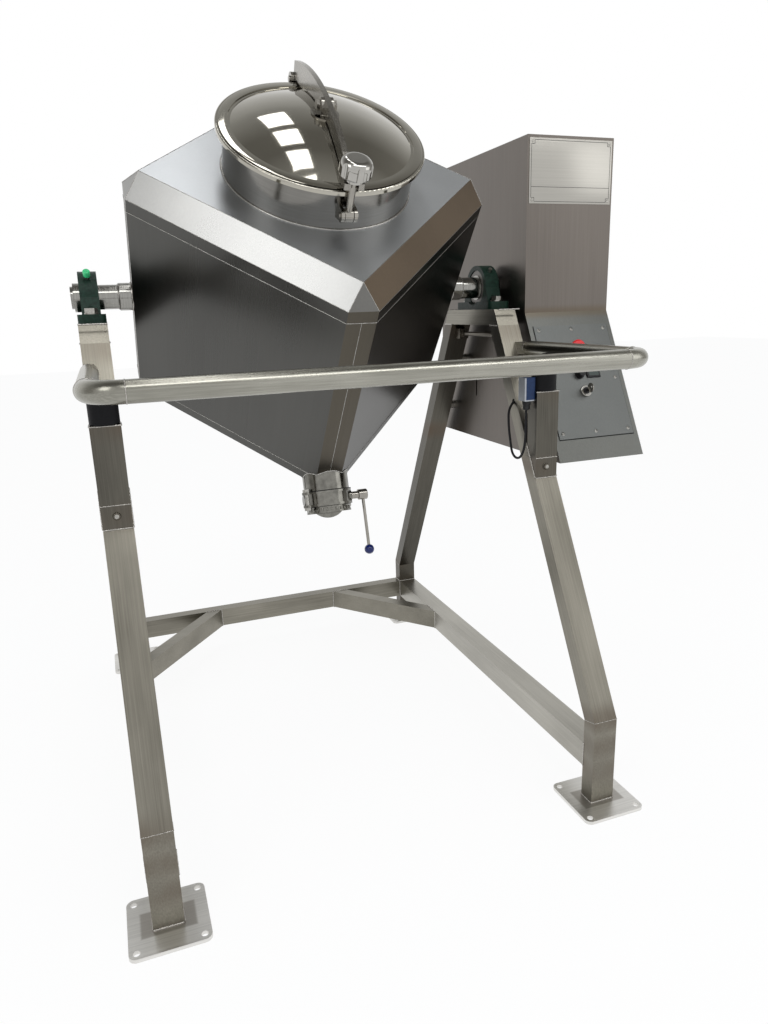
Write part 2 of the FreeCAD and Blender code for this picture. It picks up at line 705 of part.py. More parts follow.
def manway_gasket():
    low = NECK_TOP + NECK_RIM_THICK
    inner = NECK_RADIUS - NECK_WALL
    ring = tube(V(0, 0, low), AXIS_Z, inner + GASKET_WIDTH, inner, GASKET_HEIGHT)
    crown = [e for e in ring.Edges if min(v.Z for v in e.Vertexes) > low + GASKET_HEIGHT / 2]
    return ring.makeFillet(GASKET_EDGE, crown)


def axle(end, bearing_x, extra_cut):
    start = V(0, 0, 0)
    shaft = rod(start, AXIS_X, AXLE_RADIUS, end)
    sleeve = rod(start, AXIS_X, AXLE_SLEEVE_RADIUS, bearing_x - LOCK_RING_SHORT)
    collar = rod(start, AXIS_X, AXLE_COLLAR_RADIUS, BEVEL_X + AXLE_COLLAR_WIDTH)
    collar = collar.makeFillet(AXLE_COLLAR_EDGE, [e for e in collar.Edges if e.BoundBox.XMin > BEVEL_X])
    lock = rod(V(bearing_x - LOCK_RING_SHORT, 0, 0), AXIS_X, BEARING_INNER_RADIUS,
               LOCK_RING_SHORT + LOCK_RING_LONG)
    shape = fused([shaft, sleeve, collar, lock]).cut(vessel_outside())
    return shape.cut(extra_cut)


def left_axle():
    screw = rod(V(AXLE_LEFT_END - SET_SCREW_DEPTH, 0, 0), AXIS_X, SET_SCREW_RADIUS, SET_SCREW_DEPTH)
    return mirrored(axle(AXLE_LEFT_END, FRAME_HALF_WIDTH, screw), AXIS_X)


def right_axle():
    screw = rod(V(AXLE_RIGHT_END - SET_SCREW_DEPTH, 0, 0), AXIS_X, SET_SCREW_RADIUS, SET_SCREW_DEPTH)
    return axle(AXLE_RIGHT_END, RIGHT_BEARING_X, screw)


# Manway lid: a pressed dome with a flat rim and a turned-down lip, carried by an arched arm.
def lid_dome():
    centre_z = DOME_TOP - DOME_SPHERE
    inner_sphere = DOME_SPHERE - LID_SHEET

    def on_sphere(radius, sphere):
        return V(radius, 0, centre_z + math.sqrt(sphere ** 2 - radius ** 2))

    inner_foot = math.sqrt(inner_sphere ** 2 - (LID_BOTTOM - centre_z) ** 2)
    outer_arc = Part.Arc(V(0, 0, DOME_TOP), on_sphere(LID_DOME_RADIUS / 2, DOME_SPHERE),
                         on_sphere(LID_DOME_RADIUS, DOME_SPHERE)).toShape()
    inner_arc = Part.Arc(V(inner_foot, 0, LID_BOTTOM), on_sphere(inner_foot / 2, inner_sphere),
                         V(0, 0, DOME_TOP - LID_SHEET)).toShape()
    lip_low = LID_TOP - LID_LIP
    inside = LID_RADIUS - LID_SHEET
    corners = [V(LID_DOME_RADIUS, 0, LID_TOP), V(inside, 0, LID_TOP)]
    round_top = Part.Arc(V(inside, 0, LID_TOP),
                         V(inside + LID_SHEET * math.sin(math.radians(45)), 0,
                           LID_BOTTOM + LID_SHEET * math.cos(math.radians(45))),
                         V(LID_RADIUS, 0, LID_BOTTOM)).toShape()
    rest = Part.makePolygon([V(LID_RADIUS, 0, LID_BOTTOM), V(LID_RADIUS, 0, lip_low), V(inside, 0, lip_low),
                             V(inside, 0, LID_BOTTOM), V(inner_foot, 0, LID_BOTTOM)])
    close = Part.makePolygon([V(0, 0, DOME_TOP - LID_SHEET), V(0, 0, DOME_TOP)])
    rim = Part.makePolygon(corners).Edges
    edges = [outer_arc] + rim + [round_top] + rest.Edges + [inner_arc] + close.Edges
    wire = Part.Wire(Part.__sortEdges__(edges))
    return Part.Face(wire).revolve(V(0, 0, 0), AXIS_Z, 360)


def lid_arm():
    half = ARM_THICK / 2
    centre_z = DOME_TOP - DOME_SPHERE
    under = DOME_SPHERE + ARM_OVER_DOME

    def below(y):
        return V(-half, y, centre_z + math.sqrt(under ** 2 - y ** 2))

    crest = DOME_TOP + ARM_CREST
    heel = V(-half, HINGE_Y, HINGE_Z + HINGE_EYE_RADIUS)
    heel_top = V(-half, HINGE_Y + ARM_OVER_DOME, DOME_TOP - ARM_THICK / 2)
    shoulder = V(-half, -ARM_REACH, LID_TOP + ARM_SHOULDER_RISE)
    fork_back = BOLT_Y + KNOB_RADIUS + ARM_OVER_DOME
    knee = V(-half, fork_back, FORK_TOP_Z)
    fork_front = V(-half, BOLT_Y + BOLT_RADIUS + FORK_SLACK, FORK_TOP_Z)
    fork_low = V(-half, fork_front.y, FORK_TOP_Z - FORK_THICK)
    toe = V(-half, -ARM_REACH, FORK_TOP_Z - FORK_THICK)
    low_front = below(-ARM_REACH * ARM_UNDER_SHARE)
    low_back = below(LID_DOME_RADIUS * ARM_UNDER_SHARE)
    heel_low = V(-half, HINGE_Y - HINGE_EYE_RADIUS / 2, HINGE_Z + HINGE_EYE_RADIUS / 2)
    edges = [
        Part.Arc(heel_top, V(-half, 0, crest), shoulder).toShape(),
        Part.makeLine(shoulder, knee),
        Part.makeLine(knee, fork_front),
        Part.makeLine(fork_front, fork_low),
        Part.makeLine(fork_low, toe),
        Part.makeLine(toe, low_front),
        Part.Arc(low_front, below(0.0), low_back).toShape(),
        Part.makeLine(low_back, heel_low),
        Part.makeLine(heel_low, heel),
        Part.makeLine(heel, heel_top),
    ]
    plate = Part.Face(Part.Wire(edges)).extrude(V(ARM_THICK, 0, 0))
    eye = rod(V(-half, HINGE_Y, HINGE_Z), AXIS_X, HINGE_EYE_RADIUS, ARM_THICK)
    fork_half = FORK_WIDTH / 2
    tip = BOLT_Y - FORK_LIP
    fork = block(-fork_half, fork_half, tip, fork_back - ARM_OVER_DOME, FORK_TOP_Z - FORK_THICK, FORK_TOP_Z)
    uprights = [e for e in fork.Edges if abs(e.Vertexes[0].Z - e.Vertexes[1].Z) > FORK_THICK / 2]
    fork = fork.makeFillet(FORK_CORNER, uprights)
    slot_half = BOLT_RADIUS + FORK_SLACK
    slot = rod(V(0, BOLT_Y, 0), AXIS_Z, slot_half, KNOB_TOP)
    mouth = block(-slot_half, slot_half, tip - FORK_SLACK, BOLT_Y, 0, KNOB_TOP)
    arm = fused([plate, eye, fork]).cut(slot).cut(mouth)
    arm = arm.cut(rod(V(-half, HINGE_Y, HINGE_Z), AXIS_X, HINGE_PIN_RADIUS + RUN_FIT, ARM_THICK))
    stud_z = DOME_TOP + ARM_CREST / 2
    return arm.cut(rod(V(-half, 0, stud_z), AXIS_X, STUD_BOLT_RADIUS, ARM_THICK))


def lid_stud():
    half = ARM_THICK / 2
    outer = half + EAR_THICK
    stud_z = DOME_TOP + ARM_CREST / 2
    centre_z = DOME_TOP - DOME_SPHERE
    dome = Part.makeSphere(DOME_SPHERE, V(0, 0, centre_z))
    foot = rod(V(0, 0, DOME_TOP - EAR_THICK), AXIS_Z, STUD_PLATE_RADIUS, EAR_THICK + ARM_OVER_DOME / 2)
    foot = foot.cut(dome)
    ears = []
    for x in (-outer, half):
        ear = block(x, x + EAR_THICK, -STUD_EAR_HALF, STUD_EAR_HALF, DOME_TOP, stud_z)
        ears.append(ear)
        ears.append(rod(V(x, 0, stud_z), AXIS_X, STUD_EAR_HALF, EAR_THICK))
    cross = rod(V(-outer, 0, stud_z), AXIS_X, STUD_BOLT_RADIUS, 2 * outer)
    heads = [hexagon(V(outer, 0, stud_z), AXIS_X, STUD_HEAD_ACROSS, STUD_HEAD_THICK),
             hexagon(V(-outer - STUD_HEAD_THICK, 0, stud_z), AXIS_X, STUD_HEAD_ACROSS, STUD_HEAD_THICK)]
    return fused([foot] + ears + [cross] + heads)


def neck_ears(pivot_y, pivot_z, radius, inner_half, foot_drop, pin_radius):
    side = 1 if pivot_y > 0 else -1
    wall_y = side * (NECK_RADIUS - NECK_WALL)
    top = min(pivot_z, NECK_TOP - MOVING_GAP)
    low = pivot_z - foot_drop
    near = pivot_y - side * radius
    slope = radius * EAR_TAPER
    foot = [(wall_y, low), (pivot_y + side * slope, pivot_z - slope)]
    outline = foot + [(pivot_y, pivot_z), (near, pivot_z), (near, top), (wall_y, top)]
    if pivot_z <= top:
        outline = foot + [(pivot_y, pivot_z + radius), (wall_y, pivot_z + radius)]
    parts = []
    for x in (-inner_half - EAR_THICK, inner_half):
        parts.append(prism_x(outline, x, x + EAR_THICK))
        parts.append(rod(V(x, pivot_y, pivot_z), AXIS_X, radius, EAR_THICK))
    reach = inner_half + EAR_THICK + PIN_SHOWN
    parts.append(rod(V(-reach, pivot_y, pivot_z), AXIS_X, pin_radius, 2 * reach))
    shape = fused(parts)
    return shape.cut(rod(V(0, 0, VESSEL_HALF), AXIS_Z, NECK_RADIUS, NECK_TOP - VESSEL_HALF))


def lid_hinge_bracket():
    inner_half = ARM_THICK / 2 + EAR_GAP
    return neck_ears(HINGE_Y, HINGE_Z, HINGE_EYE_RADIUS, inner_half, HINGE_FOOT_DROP, HINGE_PIN_RADIUS)


def bolt_bracket():
    inner_half = BOLT_EYE_WIDTH / 2 + EAR_GAP
    return neck_ears(BOLT_Y, BOLT_PIVOT_Z, BOLT_EYE_RADIUS, inner_half, BOLT_FOOT_DROP, BOLT_PIN_RADIUS)


def swing_bolt():
    length = KNOB_TOP - BOLT_PIVOT_Z - KNOB_CROWN - MOVING_GAP
    shank = rod(V(0, BOLT_Y, BOLT_PIVOT_Z), AXIS_Z, BOLT_RADIUS, length)
    eye = rod(V(-BOLT_EYE_WIDTH / 2, BOLT_Y, BOLT_PIVOT_Z), AXIS_X, BOLT_EYE_RADIUS, BOLT_EYE_WIDTH)
    eye = eye.makeFillet(BOLT_EYE_EDGE, [e for e in eye.Edges if e.Closed])
    hole_start = V(-BOLT_EYE_WIDTH, BOLT_Y, BOLT_PIVOT_Z)
    hole = rod(hole_start, AXIS_X, BOLT_PIN_RADIUS + RUN_FIT, 2 * BOLT_EYE_WIDTH)
    return fused([shank, eye]).cut(hole)


def clamp_knob():
    low = KNOB_BOTTOM + KNOB_HUB_HEIGHT
    hub = rod(V(0, 0, KNOB_BOTTOM), AXIS_Z, KNOB_HUB_RADIUS, KNOB_HUB_HEIGHT)
    head = rod(V(0, 0, low), AXIS_Z, KNOB_RADIUS, KNOB_HEIGHT)
    crown = [e for e in head.Edges if e.Closed and e.BoundBox.ZMin > low + KNOB_EDGE]
    head = head.makeFillet(KNOB_DOME, crown)
    skirt = [e for e in head.Edges if e.Closed and e.BoundBox.ZMax < low + KNOB_EDGE]
    head = head.makeFillet(KNOB_EDGE, skirt)
    for i in range(KNOB_LOBES):
        turn = math.pi * (2 * i + 1) / KNOB_LOBES
        place = V(KNOB_SCALLOP_REACH * math.cos(turn), KNOB_SCALLOP_REACH * math.sin(turn), low)
        head = head.cut(rod(place, AXIS_Z, KNOB_SCALLOP_RADIUS, KNOB_HEIGHT))
    thread = rod(V(0, 0, KNOB_BOTTOM), AXIS_Z, BOLT_RADIUS + RUN_FIT, KNOB_TOP - KNOB_BOTTOM - KNOB_CROWN)
    return moved(fused([hub, head]).cut(thread), y=BOLT_Y)


# Outlet and butterfly valve, modelled along +Z from the vessel's centre and turned to the low corner.
def outlet_tube():
    start = VESSEL_HALF
    inner = OUTLET_RADIUS - OUTLET_WALL
    pipe = tube(V(0, 0, start), AXIS_Z, OUTLET_RADIUS, inner, OUTLET_TUBE_END - start)
    return pipe.cut(turned_x(vessel_outside(), -OUTLET_TURN))


def valve_body():
    low = OUTLET_TUBE_END
    high = low + VALVE_LENGTH
    barrel = rod(V(0, 0, low), AXIS_Z, VALVE_BODY_RADIUS, VALVE_LENGTH)
    flanges = [rod(V(0, 0, k), AXIS_Z, VALVE_FLANGE_RADIUS, VALVE_FLANGE_THICK)
               for k in (low, high - VALVE_FLANGE_THICK)]
    half = VALVE_LUG_WIDTH / 2
    lugs = [block(-VALVE_LUG_REACH, VALVE_LUG_REACH, -half, half, k, k + VALVE_FLANGE_THICK)
            for k in (low, high - VALVE_FLANGE_THICK)]
    lugs = [lug.makeFillet(half / 2, [e for e in lug.Edges if e.BoundBox.ZLength > VALVE_FLANGE_THICK / 2])
            for lug in lugs]
    for lug in lugs:
        lug.rotate(V(0, 0, 0), AXIS_Z, VALVE_LUG_TURN)
    ferrule = rod(V(0, 0, high), AXIS_Z, FERRULE_RADIUS, FERRULE_LENGTH)
    lip = rod(V(0, 0, high + FERRULE_LENGTH - FERRULE_LIP_LENGTH), AXIS_Z, FERRULE_RADIUS + FERRULE_LIP,
              FERRULE_LIP_LENGTH)
    boss = rod(V(-HUB_START, 0, VALVE_STEM_K), AXIS_X, HUB_HEAD_RADIUS, 2 * HUB_START - MOVING_GAP)
    shape = fused([barrel, ferrule, lip, boss] + flanges + lugs)
    shape = shape.cut(rod(V(0, 0, low), AXIS_Z, VALVE_BORE_RADIUS, VALVE_LENGTH + FERRULE_LENGTH))
    shape = shape.cut(rod(V(-DISC_RADIUS, 0, VALVE_STEM_K), AXIS_X, STEM_RADIUS + RUN_FIT, 2 * HUB_END))
    for place in valve_bolt_places(low):
        shape = shape.cut(rod(place, AXIS_Z, VALVE_BOLT_RADIUS + RUN_FIT, VALVE_LENGTH))
    return shape


def valve_bolt_places(k):
    turn = math.radians(VALVE_LUG_TURN)
    reach = V(VALVE_BOLT_REACH * math.cos(turn), VALVE_BOLT_REACH * math.sin(turn), 0)
    return [V(0, 0, k) + reach, V(0, 0, k) - reach]


def valve_bolts():
    bolts = []
    low = OUTLET_TUBE_END
    for place in valve_bolt_places(low):
        shank = rod(place, AXIS_Z, VALVE_BOLT_RADIUS, VALVE_LENGTH)
        head = hexagon(place - V(0, 0, VALVE_BOLT_HEAD_THICK), AXIS_Z, VALVE_BOLT_HEAD, VALVE_BOLT_HEAD_THICK)
        nut = hexagon(place + V(0, 0, VALVE_LENGTH), AXIS_Z, VALVE_BOLT_HEAD, VALVE_BOLT_HEAD_THICK)
        bolts.append(fused([shank, head, nut]))
    return bolts


def valve_disc():
    plate = rod(V(0, -DISC_THICK / 2, VALVE_STEM_K), AXIS_Y, DISC_RADIUS, DISC_THICK)
    plate = plate.makeFillet(DISC_EDGE, [e for e in plate.Edges if e.Closed])
    stem = rod(V(-DISC_RADIUS / 2, 0, VALVE_STEM_K), AXIS_X, STEM_RADIUS, DISC_RADIUS / 2 + HUB_START)
    return fused([plate, stem])


def valve_lever():
    neck = rod(V(HUB_START, 0, VALVE_STEM_K), AXIS_X, HUB_NECK_RADIUS, HUB_HEAD_START - HUB_START)
    head = rod(V(HUB_HEAD_START, 0, VALVE_STEM_K), AXIS_X, HUB_HEAD_RADIUS, HUB_END - HUB_HEAD_START)
    head = head.makeFillet(HUB_EDGE, [e for e in head.Edges if e.Closed])
    arm_length = LEVER_LENGTH - math.sqrt(BALL_RADIUS ** 2 - LEVER_RADIUS ** 2)
    arm = rod(V(LEVER_X, 0, VALVE_STEM_K), AXIS_Z, LEVER_RADIUS, arm_length)
    shape = fused([neck, head, arm])
    ball = Part.makeSphere(BALL_RADIUS, V(LEVER_X, 0, VALVE_STEM_K + LEVER_LENGTH))
    return shape.cut(ball)


def lever_ball():
    return Part.makeSphere(BALL_RADIUS, V(LEVER_X, 0, VALVE_STEM_K + LEVER_LENGTH))


# Guard rail: a bent tube hinged on the front legs and resting on the two post pads.
def rail_hinge():
    inner_half = RAIL_TONGUE_THICK / 2 + RAIL_EAR_GAP
    parts = []
    low = RAIL_Z - RAIL_EAR_RADIUS
    high = RAIL_Z + RAIL_EAR_RADIUS
    outline = [(RAIL_PIN_Y, low), (leg_front_y(low), low), (leg_front_y(high), high), (RAIL_PIN_Y, high)]
    for x in (RAIL_ARM_X - inner_half - RAIL_EAR_THICK, RAIL_ARM_X + inner_half):
        parts.append(prism_x(outline, x, x + RAIL_EAR_THICK))
        parts.append(rod(V(x, RAIL_PIN_Y, RAIL_Z), AXIS_X, RAIL_EAR_RADIUS, RAIL_EAR_THICK))
    reach = inner_half + RAIL_EAR_THICK + RAIL_PIN_HEAD_THICK
    parts.append(rod(V(RAIL_ARM_X - reach, RAIL_PIN_Y, RAIL_Z), AXIS_X, RAIL_PIN_RADIUS, 2 * reach))
    for x in (RAIL_ARM_X - reach, RAIL_ARM_X + reach - RAIL_PIN_HEAD_THICK):
        parts.append(rod(V(x, RAIL_PIN_Y, RAIL_Z), AXIS_X, RAIL_PIN_HEAD_RADIUS, RAIL_PIN_HEAD_THICK))
    return fused(parts)


def rail_arm():
    start = RAIL_FRONT_Y + RAIL_BEND_RADIUS
    end = RAIL_PIN_Y - RAIL_ARM_GAP
    foot = V(RAIL_ARM_X, start, RAIL_Z)
    pipe = tube(foot, AXIS_Y, RAIL_RADIUS, RAIL_RADIUS - RAIL_WALL, end - start)
    cap = rod(V(RAIL_ARM_X, end - RAIL_WALL, RAIL_Z), AXIS_Y, RAIL_RADIUS, RAIL_WALL)
    half = RAIL_TONGUE_THICK / 2
    tongue = block(RAIL_ARM_X - half, RAIL_ARM_X + half, end, RAIL_PIN_Y, RAIL_Z - RAIL_TONGUE_RADIUS,
                   RAIL_Z + RAIL_TONGUE_RADIUS)
    eye = rod(V(RAIL_ARM_X - half, RAIL_PIN_Y, RAIL_Z), AXIS_X, RAIL_TONGUE_RADIUS, RAIL_TONGUE_THICK)
    hole = rod(V(RAIL_ARM_X - half, RAIL_PIN_Y, RAIL_Z), AXIS_X, RAIL_PIN_RADIUS + RUN_FIT, RAIL_TONGUE_THICK)
    return fused([pipe, cap, tongue, eye]).cut(hole)


def rail_bar():
    reach = RAIL_ARM_X - RAIL_BEND_RADIUS
    bar = tube(V(-reach, RAIL_FRONT_Y, RAIL_Z), AXIS_X, RAIL_RADIUS, RAIL_RADIUS - RAIL_WALL, 2 * reach)
    centre = V(reach, RAIL_FRONT_Y + RAIL_BEND_RADIUS, RAIL_Z)
    bar_end = V(reach, RAIL_FRONT_Y, RAIL_Z)
    ring = Part.Face(Part.Wire(Part.makeCircle(RAIL_RADIUS, bar_end, AXIS_X)))
    core = Part.Face(Part.Wire(Part.makeCircle(RAIL_RADIUS - RAIL_WALL, bar_end, AXIS_X)))
    elbow = ring.revolve(centre, AXIS_Z, 90).cut(core.revolve(centre, AXIS_Z, 90))
    return fused([bar, elbow, mirrored(elbow, AXIS_X)])


def rail_post():
    def outline(inset):
        front = POST_FRONT_Y + inset
        rear = POST_REAR_Y - inset
        feet = [(front, leg_front_z(front)), (rear, leg_front_z(rear))]
        return feet + [(rear, POST_TOP_Z), (front, POST_TOP_Z)]
    skin = prism_x(outline(0.0), LEG_INNER_X, LEG_OUTER_X)
    core = prism_x(outline(TUBE_WALL), LEG_INNER_X + TUBE_WALL, LEG_OUTER_X - TUBE_WALL)
    bolt = V(FRAME_HALF_WIDTH, POST_FRONT_Y, POST_BOLT_Z)
    head = rod(bolt, V(0, -1, 0), POST_BOLT_RADIUS, POST_BOLT_HEIGHT)
    head_edge = [e for e in head.Edges if e.BoundBox.YMax < POST_FRONT_Y - POST_BOLT_HEIGHT / 2]
    head = head.makeFillet(POST_BOLT_HEIGHT / 2, head_edge)
    return fused([skin.cut(core), head])


def rail_pad():
    centre = V(FRAME_HALF_WIDTH, POST_FRONT_Y + TUBE_DEEP / 2, POST_TOP_Z)
    pad = rod(centre, AXIS_Z, PAD_RADIUS, PAD_TOP_Z - POST_TOP_Z)
    pad = pad.makeFillet(PAD_EDGE, [e for e in pad.Edges if e.Closed])
    saddle_start = V(RAIL_ARM_X, centre.y - PAD_RADIUS, RAIL_Z)
    saddle = rod(saddle_start, AXIS_Y, RAIL_RADIUS + MOVING_GAP, 2 * PAD_RADIUS)
    return pad.cut(saddle)


# Interlock switch on the inner face of the right post, with its cable looping back into the leg.
def switch_centre():
    x = LEG_INNER_X - SWITCH_PLATE - SWITCH_WIDE / 2
    return x, SWITCH_BACK_Y - SWITCH_DEEP / 2


def safety_switch():
    x, y = switch_centre()
    top = SWITCH_BOTTOM_Z + SWITCH_TALL
    body = block(x - SWITCH_WIDE / 2, x + SWITCH_WIDE / 2, y - SWITCH_DEEP / 2, y + SWITCH_DEEP / 2,
                 SWITCH_BOTTOM_Z, top)
    body = body.makeFillet(SWITCH_EDGE, [e for e in body.Edges if e.BoundBox.ZLength > SWITCH_EDGE])
    plate = block(x + SWITCH_WIDE / 2, LEG_INNER_X, y - SWITCH_DEEP / 2 + SWITCH_EDGE,
                  y + SWITCH_DEEP / 2 - SWITCH_EDGE, SWITCH_BOTTOM_Z, top)
    return fused([body, plate])


def cable_gland():
    x, y = switch_centre()
    nut_low = SWITCH_BOTTOM_Z - GLAND_NUT_HEIGHT
    nut = hexagon(V(x, y, nut_low), AXIS_Z, GLAND_NUT_ACROSS, GLAND_NUT_HEIGHT)
    dome = rod(V(x, y, SWITCH_BOTTOM_Z - GLAND_HEIGHT), AXIS_Z, GLAND_RADIUS, GLAND_HEIGHT - GLAND_NUT_HEIGHT)
    low_edge = [e for e in dome.Edges if e.BoundBox.ZMax < nut_low - GLAND_EDGE]
    dome = dome.makeFillet(GLAND_EDGE, low_edge)
    return fused([nut, dome])


def cable_corner_radius(before, corner, after):
    first = (corner - before).Length
    second = (after - corner).Length
    turn = (corner - before).getAngle(after - corner)
    return CABLE_BEND_SHARE * min(first, second) / math.tan(turn / 2)


def cable_route():
    x, y = switch_centre()
    gland = V(x, y, SWITCH_BOTTOM_Z - GLAND_HEIGHT)
    hole = V(LEG_INNER_X, CABLE_LEG_Y, CABLE_LEG_Z)
    return [gland + V(*step) for step in CABLE_FROM_GLAND] + [hole + V(*step) for step in CABLE_INTO_LEG]


def switch_cable():
    route = cable_route()
    print("cable route", [tuple(round(c, 2) for c in p) for p in route])
    edges = []
    last = route[0]
    for before, corner, after in zip(route, route[1:], route[2:]):
        reach = CABLE_BEND_SHARE * min((corner - before).Length, (after - corner).Length)
        into = (corner - before).normalize()
        out = (after - corner).normalize()
        radius = cable_corner_radius(before, corner, after)
        print("cable bend radius", round(radius, 1))
        start = corner - into * reach
        end = corner + out * reach
        half_turn = into.getAngle(out) / 2
        bisector = (out - into).normalize()
        middle = corner + bisector * (radius / math.cos(half_turn) - radius)
        edges.append(Part.makeLine(last, start))
        edges.append(Part.Arc(start, middle, end).toShape())
        last = end
    edges.append(Part.makeLine(last, route[-1]))
    path = Part.Wire(edges)
    section = Part.Wire(Part.makeCircle(CABLE_RADIUS, route[0], route[1] - route[0]))
    print("cable length", round(path.Length, 1))
    return path.makePipeShell([section], True, True)


# Drive housing: folded sheet with an upright upper front, a flared lower front and a screwed panel.
def cover_front_y(z):
    return COVER_FRONT_Y - (COVER_FOLD_Z - z) * FLARE_SLOPE


def cover_outline(inset):
    flare = math.radians(COVER_FLARE)
    low = COVER_BOTTOM_Z + inset
    fold_z = COVER_FOLD_Z - inset * math.tan(flare / 2)
    front = COVER_FRONT_Y + inset
    toe = cover_front_y(low) + inset / math.cos(flare)
    return [(front, COVER_TOP_Z - inset), (front, fold_z), (toe, low), (COVER_REAR_Y - inset, low),
            (COVER_REAR_Y - inset, COVER_TOP_Z - inset)]


def spacer_places():
    places = []
    for drop in SPACER_DROPS:
        z = AXLE_HEIGHT - drop
        y = leg_front_y(z) + TUBE_DEEP / 2 / math.cos(LEAN)
        places.extend([(y, z), (-y, z)])
    return places


def on_panel(shape, x, z):
    # The shape stands along +Z on the panel's outer face.
    offset = PANEL_SHEET / math.cos(math.radians(COVER_FLARE))
    return moved(turned_x(shape, PANEL_TURN), x, cover_front_y(z) - offset, z)


def panel_slab(margin, low_z, high_z, inner, outer):
    # A slab on the flare between two heights, its faces measured outwards from the sheet's face.
    tall = (high_z - low_z) / math.cos(math.radians(COVER_FLARE))
    slab = block(COVER_LEFT_X + margin, COVER_RIGHT_X - margin, 0, tall, inner, outer)
    return moved(turned_x(slab, PANEL_TURN), 0, cover_front_y(low_z), low_z)


def drive_cover():
    skin = prism_x(cover_outline(0.0), COVER_LEFT_X, COVER_RIGHT_X)
    core = prism_x(cover_outline(COVER_SHEET), COVER_LEFT_X + COVER_SHEET, COVER_RIGHT_X - COVER_SHEET)
    shell = skin.cut(core)
    shell = shell.cut(rod(V(COVER_LEFT_X, 0, AXLE_HEIGHT), AXIS_X, AXLE_RADIUS + COVER_AXLE_GAP, COVER_SHEET))
    for y in SLIT_Y:
        shell = shell.cut(block(COVER_LEFT_X, COVER_LEFT_X + COVER_SHEET, y - SLIT_HALF_WIDTH,
                                y + SLIT_HALF_WIDTH, SLIT_Z, SLIT_Z + SLIT_TALL))
    hole_radius = SPACER_BOLT_RADIUS + SPACER_BOLT_SLACK
    for y, z in spacer_places():
        shell = shell.cut(rod(V(COVER_LEFT_X, y, z), AXIS_X, hole_radius, COVER_SHEET))
    window = panel_slab(PANEL_MARGIN + PANEL_LAP, PANEL_BOTTOM_Z + PANEL_LAP, PANEL_TOP_Z - PANEL_LAP,
                        -2 * COVER_SHEET, COVER_SHEET)
    shell = shell.cut(window)
    for x, z in panel_screw_places():
        shell = shell.cut(on_panel(panel_screw_hole(), x, z))
    return shell


def cover_spacers():
    hole_radius = SPACER_BOLT_RADIUS + SPACER_BOLT_SLACK
    places = [V(LEG_OUTER_X, y, z) for y, z in spacer_places()]
    return [tube(place, AXIS_X, SPACER_RADIUS, hole_radius, COVER_GAP) for place in places]


def cover_bolts():
    bolts = []
    seat = COVER_LEFT_X + COVER_SHEET
    for y, z in spacer_places():
        shank = rod(V(LEG_OUTER_X, y, z), AXIS_X, SPACER_BOLT_RADIUS, seat - LEG_OUTER_X)
        bolts.append(fused([shank, hexagon(V(seat, y, z), AXIS_X, SPACER_BOLT_HEAD, SPACER_HEAD_THICK)]))
    return bolts


def panel_screw_places():
    left = COVER_LEFT_X + PANEL_MARGIN + PANEL_SCREW_MARGIN - PANEL_LAP
    right = COVER_RIGHT_X - PANEL_MARGIN - PANEL_SCREW_MARGIN + PANEL_LAP
    middle = (left + right) / 2
    top, centre, low = (COVER_FOLD_Z - drop for drop in PANEL_SCREW_DROPS)
    upper = [(left, top), (middle, top), (right, top), (right, centre)]
    return upper + [(left, low), (middle, low), (right, low)]


def panel_screw_hole():
    return rod(V(0, 0, -PANEL_SCREW_HOLE), AXIS_Z, PANEL_SCREW_SHANK + RUN_FIT, 2 * PANEL_SCREW_HOLE)


def panel_screws():
    screws = []
    for x, z in panel_screw_places():
        dome = Part.makeSphere(PANEL_SCREW_RADIUS, V(0, 0, 0))
        dome = dome.common(rod(V(0, 0, PANEL_SCREW_RADIUS - PANEL_SCREW_RISE), AXIS_Z, PANEL_SCREW_RADIUS,
                               PANEL_SCREW_RISE))
        dome = moved(dome, z=PANEL_SCREW_RISE - PANEL_SCREW_RADIUS)
        shank = rod(V(0, 0, -2 * COVER_SHEET), AXIS_Z, PANEL_SCREW_SHANK, 2 * COVER_SHEET)
        screws.append(on_panel(fused([dome, shank]), x, z))
    return Part.makeCompound(screws)


def front_panel():
    panel = panel_slab(PANEL_MARGIN, PANEL_BOTTOM_Z, PANEL_TOP_Z, 0, PANEL_SHEET)
    through = -2 * PANEL_SHEET
    for x, z, radius in ((STOP_X, STOP_Z, STOP_HOLE_RADIUS), (KEY_X, KEY_Z, STOP_HOLE_RADIUS),
                         (DIAL_X, DIAL_Z, DIAL_SHAFT_RADIUS + RUN_FIT)):
        panel = panel.cut(on_panel(rod(V(0, 0, through), AXIS_Z, radius, -2 * through), x, z))
    window = block(-DISPLAY_WIDE / 2 + CONTROL_EDGE, DISPLAY_WIDE / 2 - CONTROL_EDGE,
                   -DISPLAY_TALL / 2 + CONTROL_EDGE, DISPLAY_TALL / 2 - CONTROL_EDGE, through, -through)
    panel = panel.cut(on_panel(window, DISPLAY_X, DIAL_Z))
    for x, z in panel_screw_places():
        panel = panel.cut(on_panel(panel_screw_hole(), x, z))
    return panel


# Panel controls: emergency stop, key switch, speed dial and a small display.
def stop_body():
    collar = rod(V(0, 0, 0), AXIS_Z, STOP_COLLAR_RADIUS, STOP_COLLAR_HEIGHT)
    collar = collar.makeFillet(CONTROL_EDGE, [e for e in collar.Edges if e.BoundBox.ZMin > CONTROL_EDGE])
    barrel = rod(V(0, 0, -STOP_BLOCK / 2), AXIS_Z, STOP_HOLE_RADIUS, STOP_BLOCK / 2)
    half = STOP_BLOCK / 2
    box = block(-half, half, -half, half, -half - STOP_BLOCK_DEEP, -half)
    bore = rod(V(0, 0, -half), AXIS_Z, STOP_NECK_RADIUS + RUN_FIT, half + STOP_COLLAR_HEIGHT)
    return on_panel(fused([collar, barrel, box]).cut(bore), STOP_X, STOP_Z)


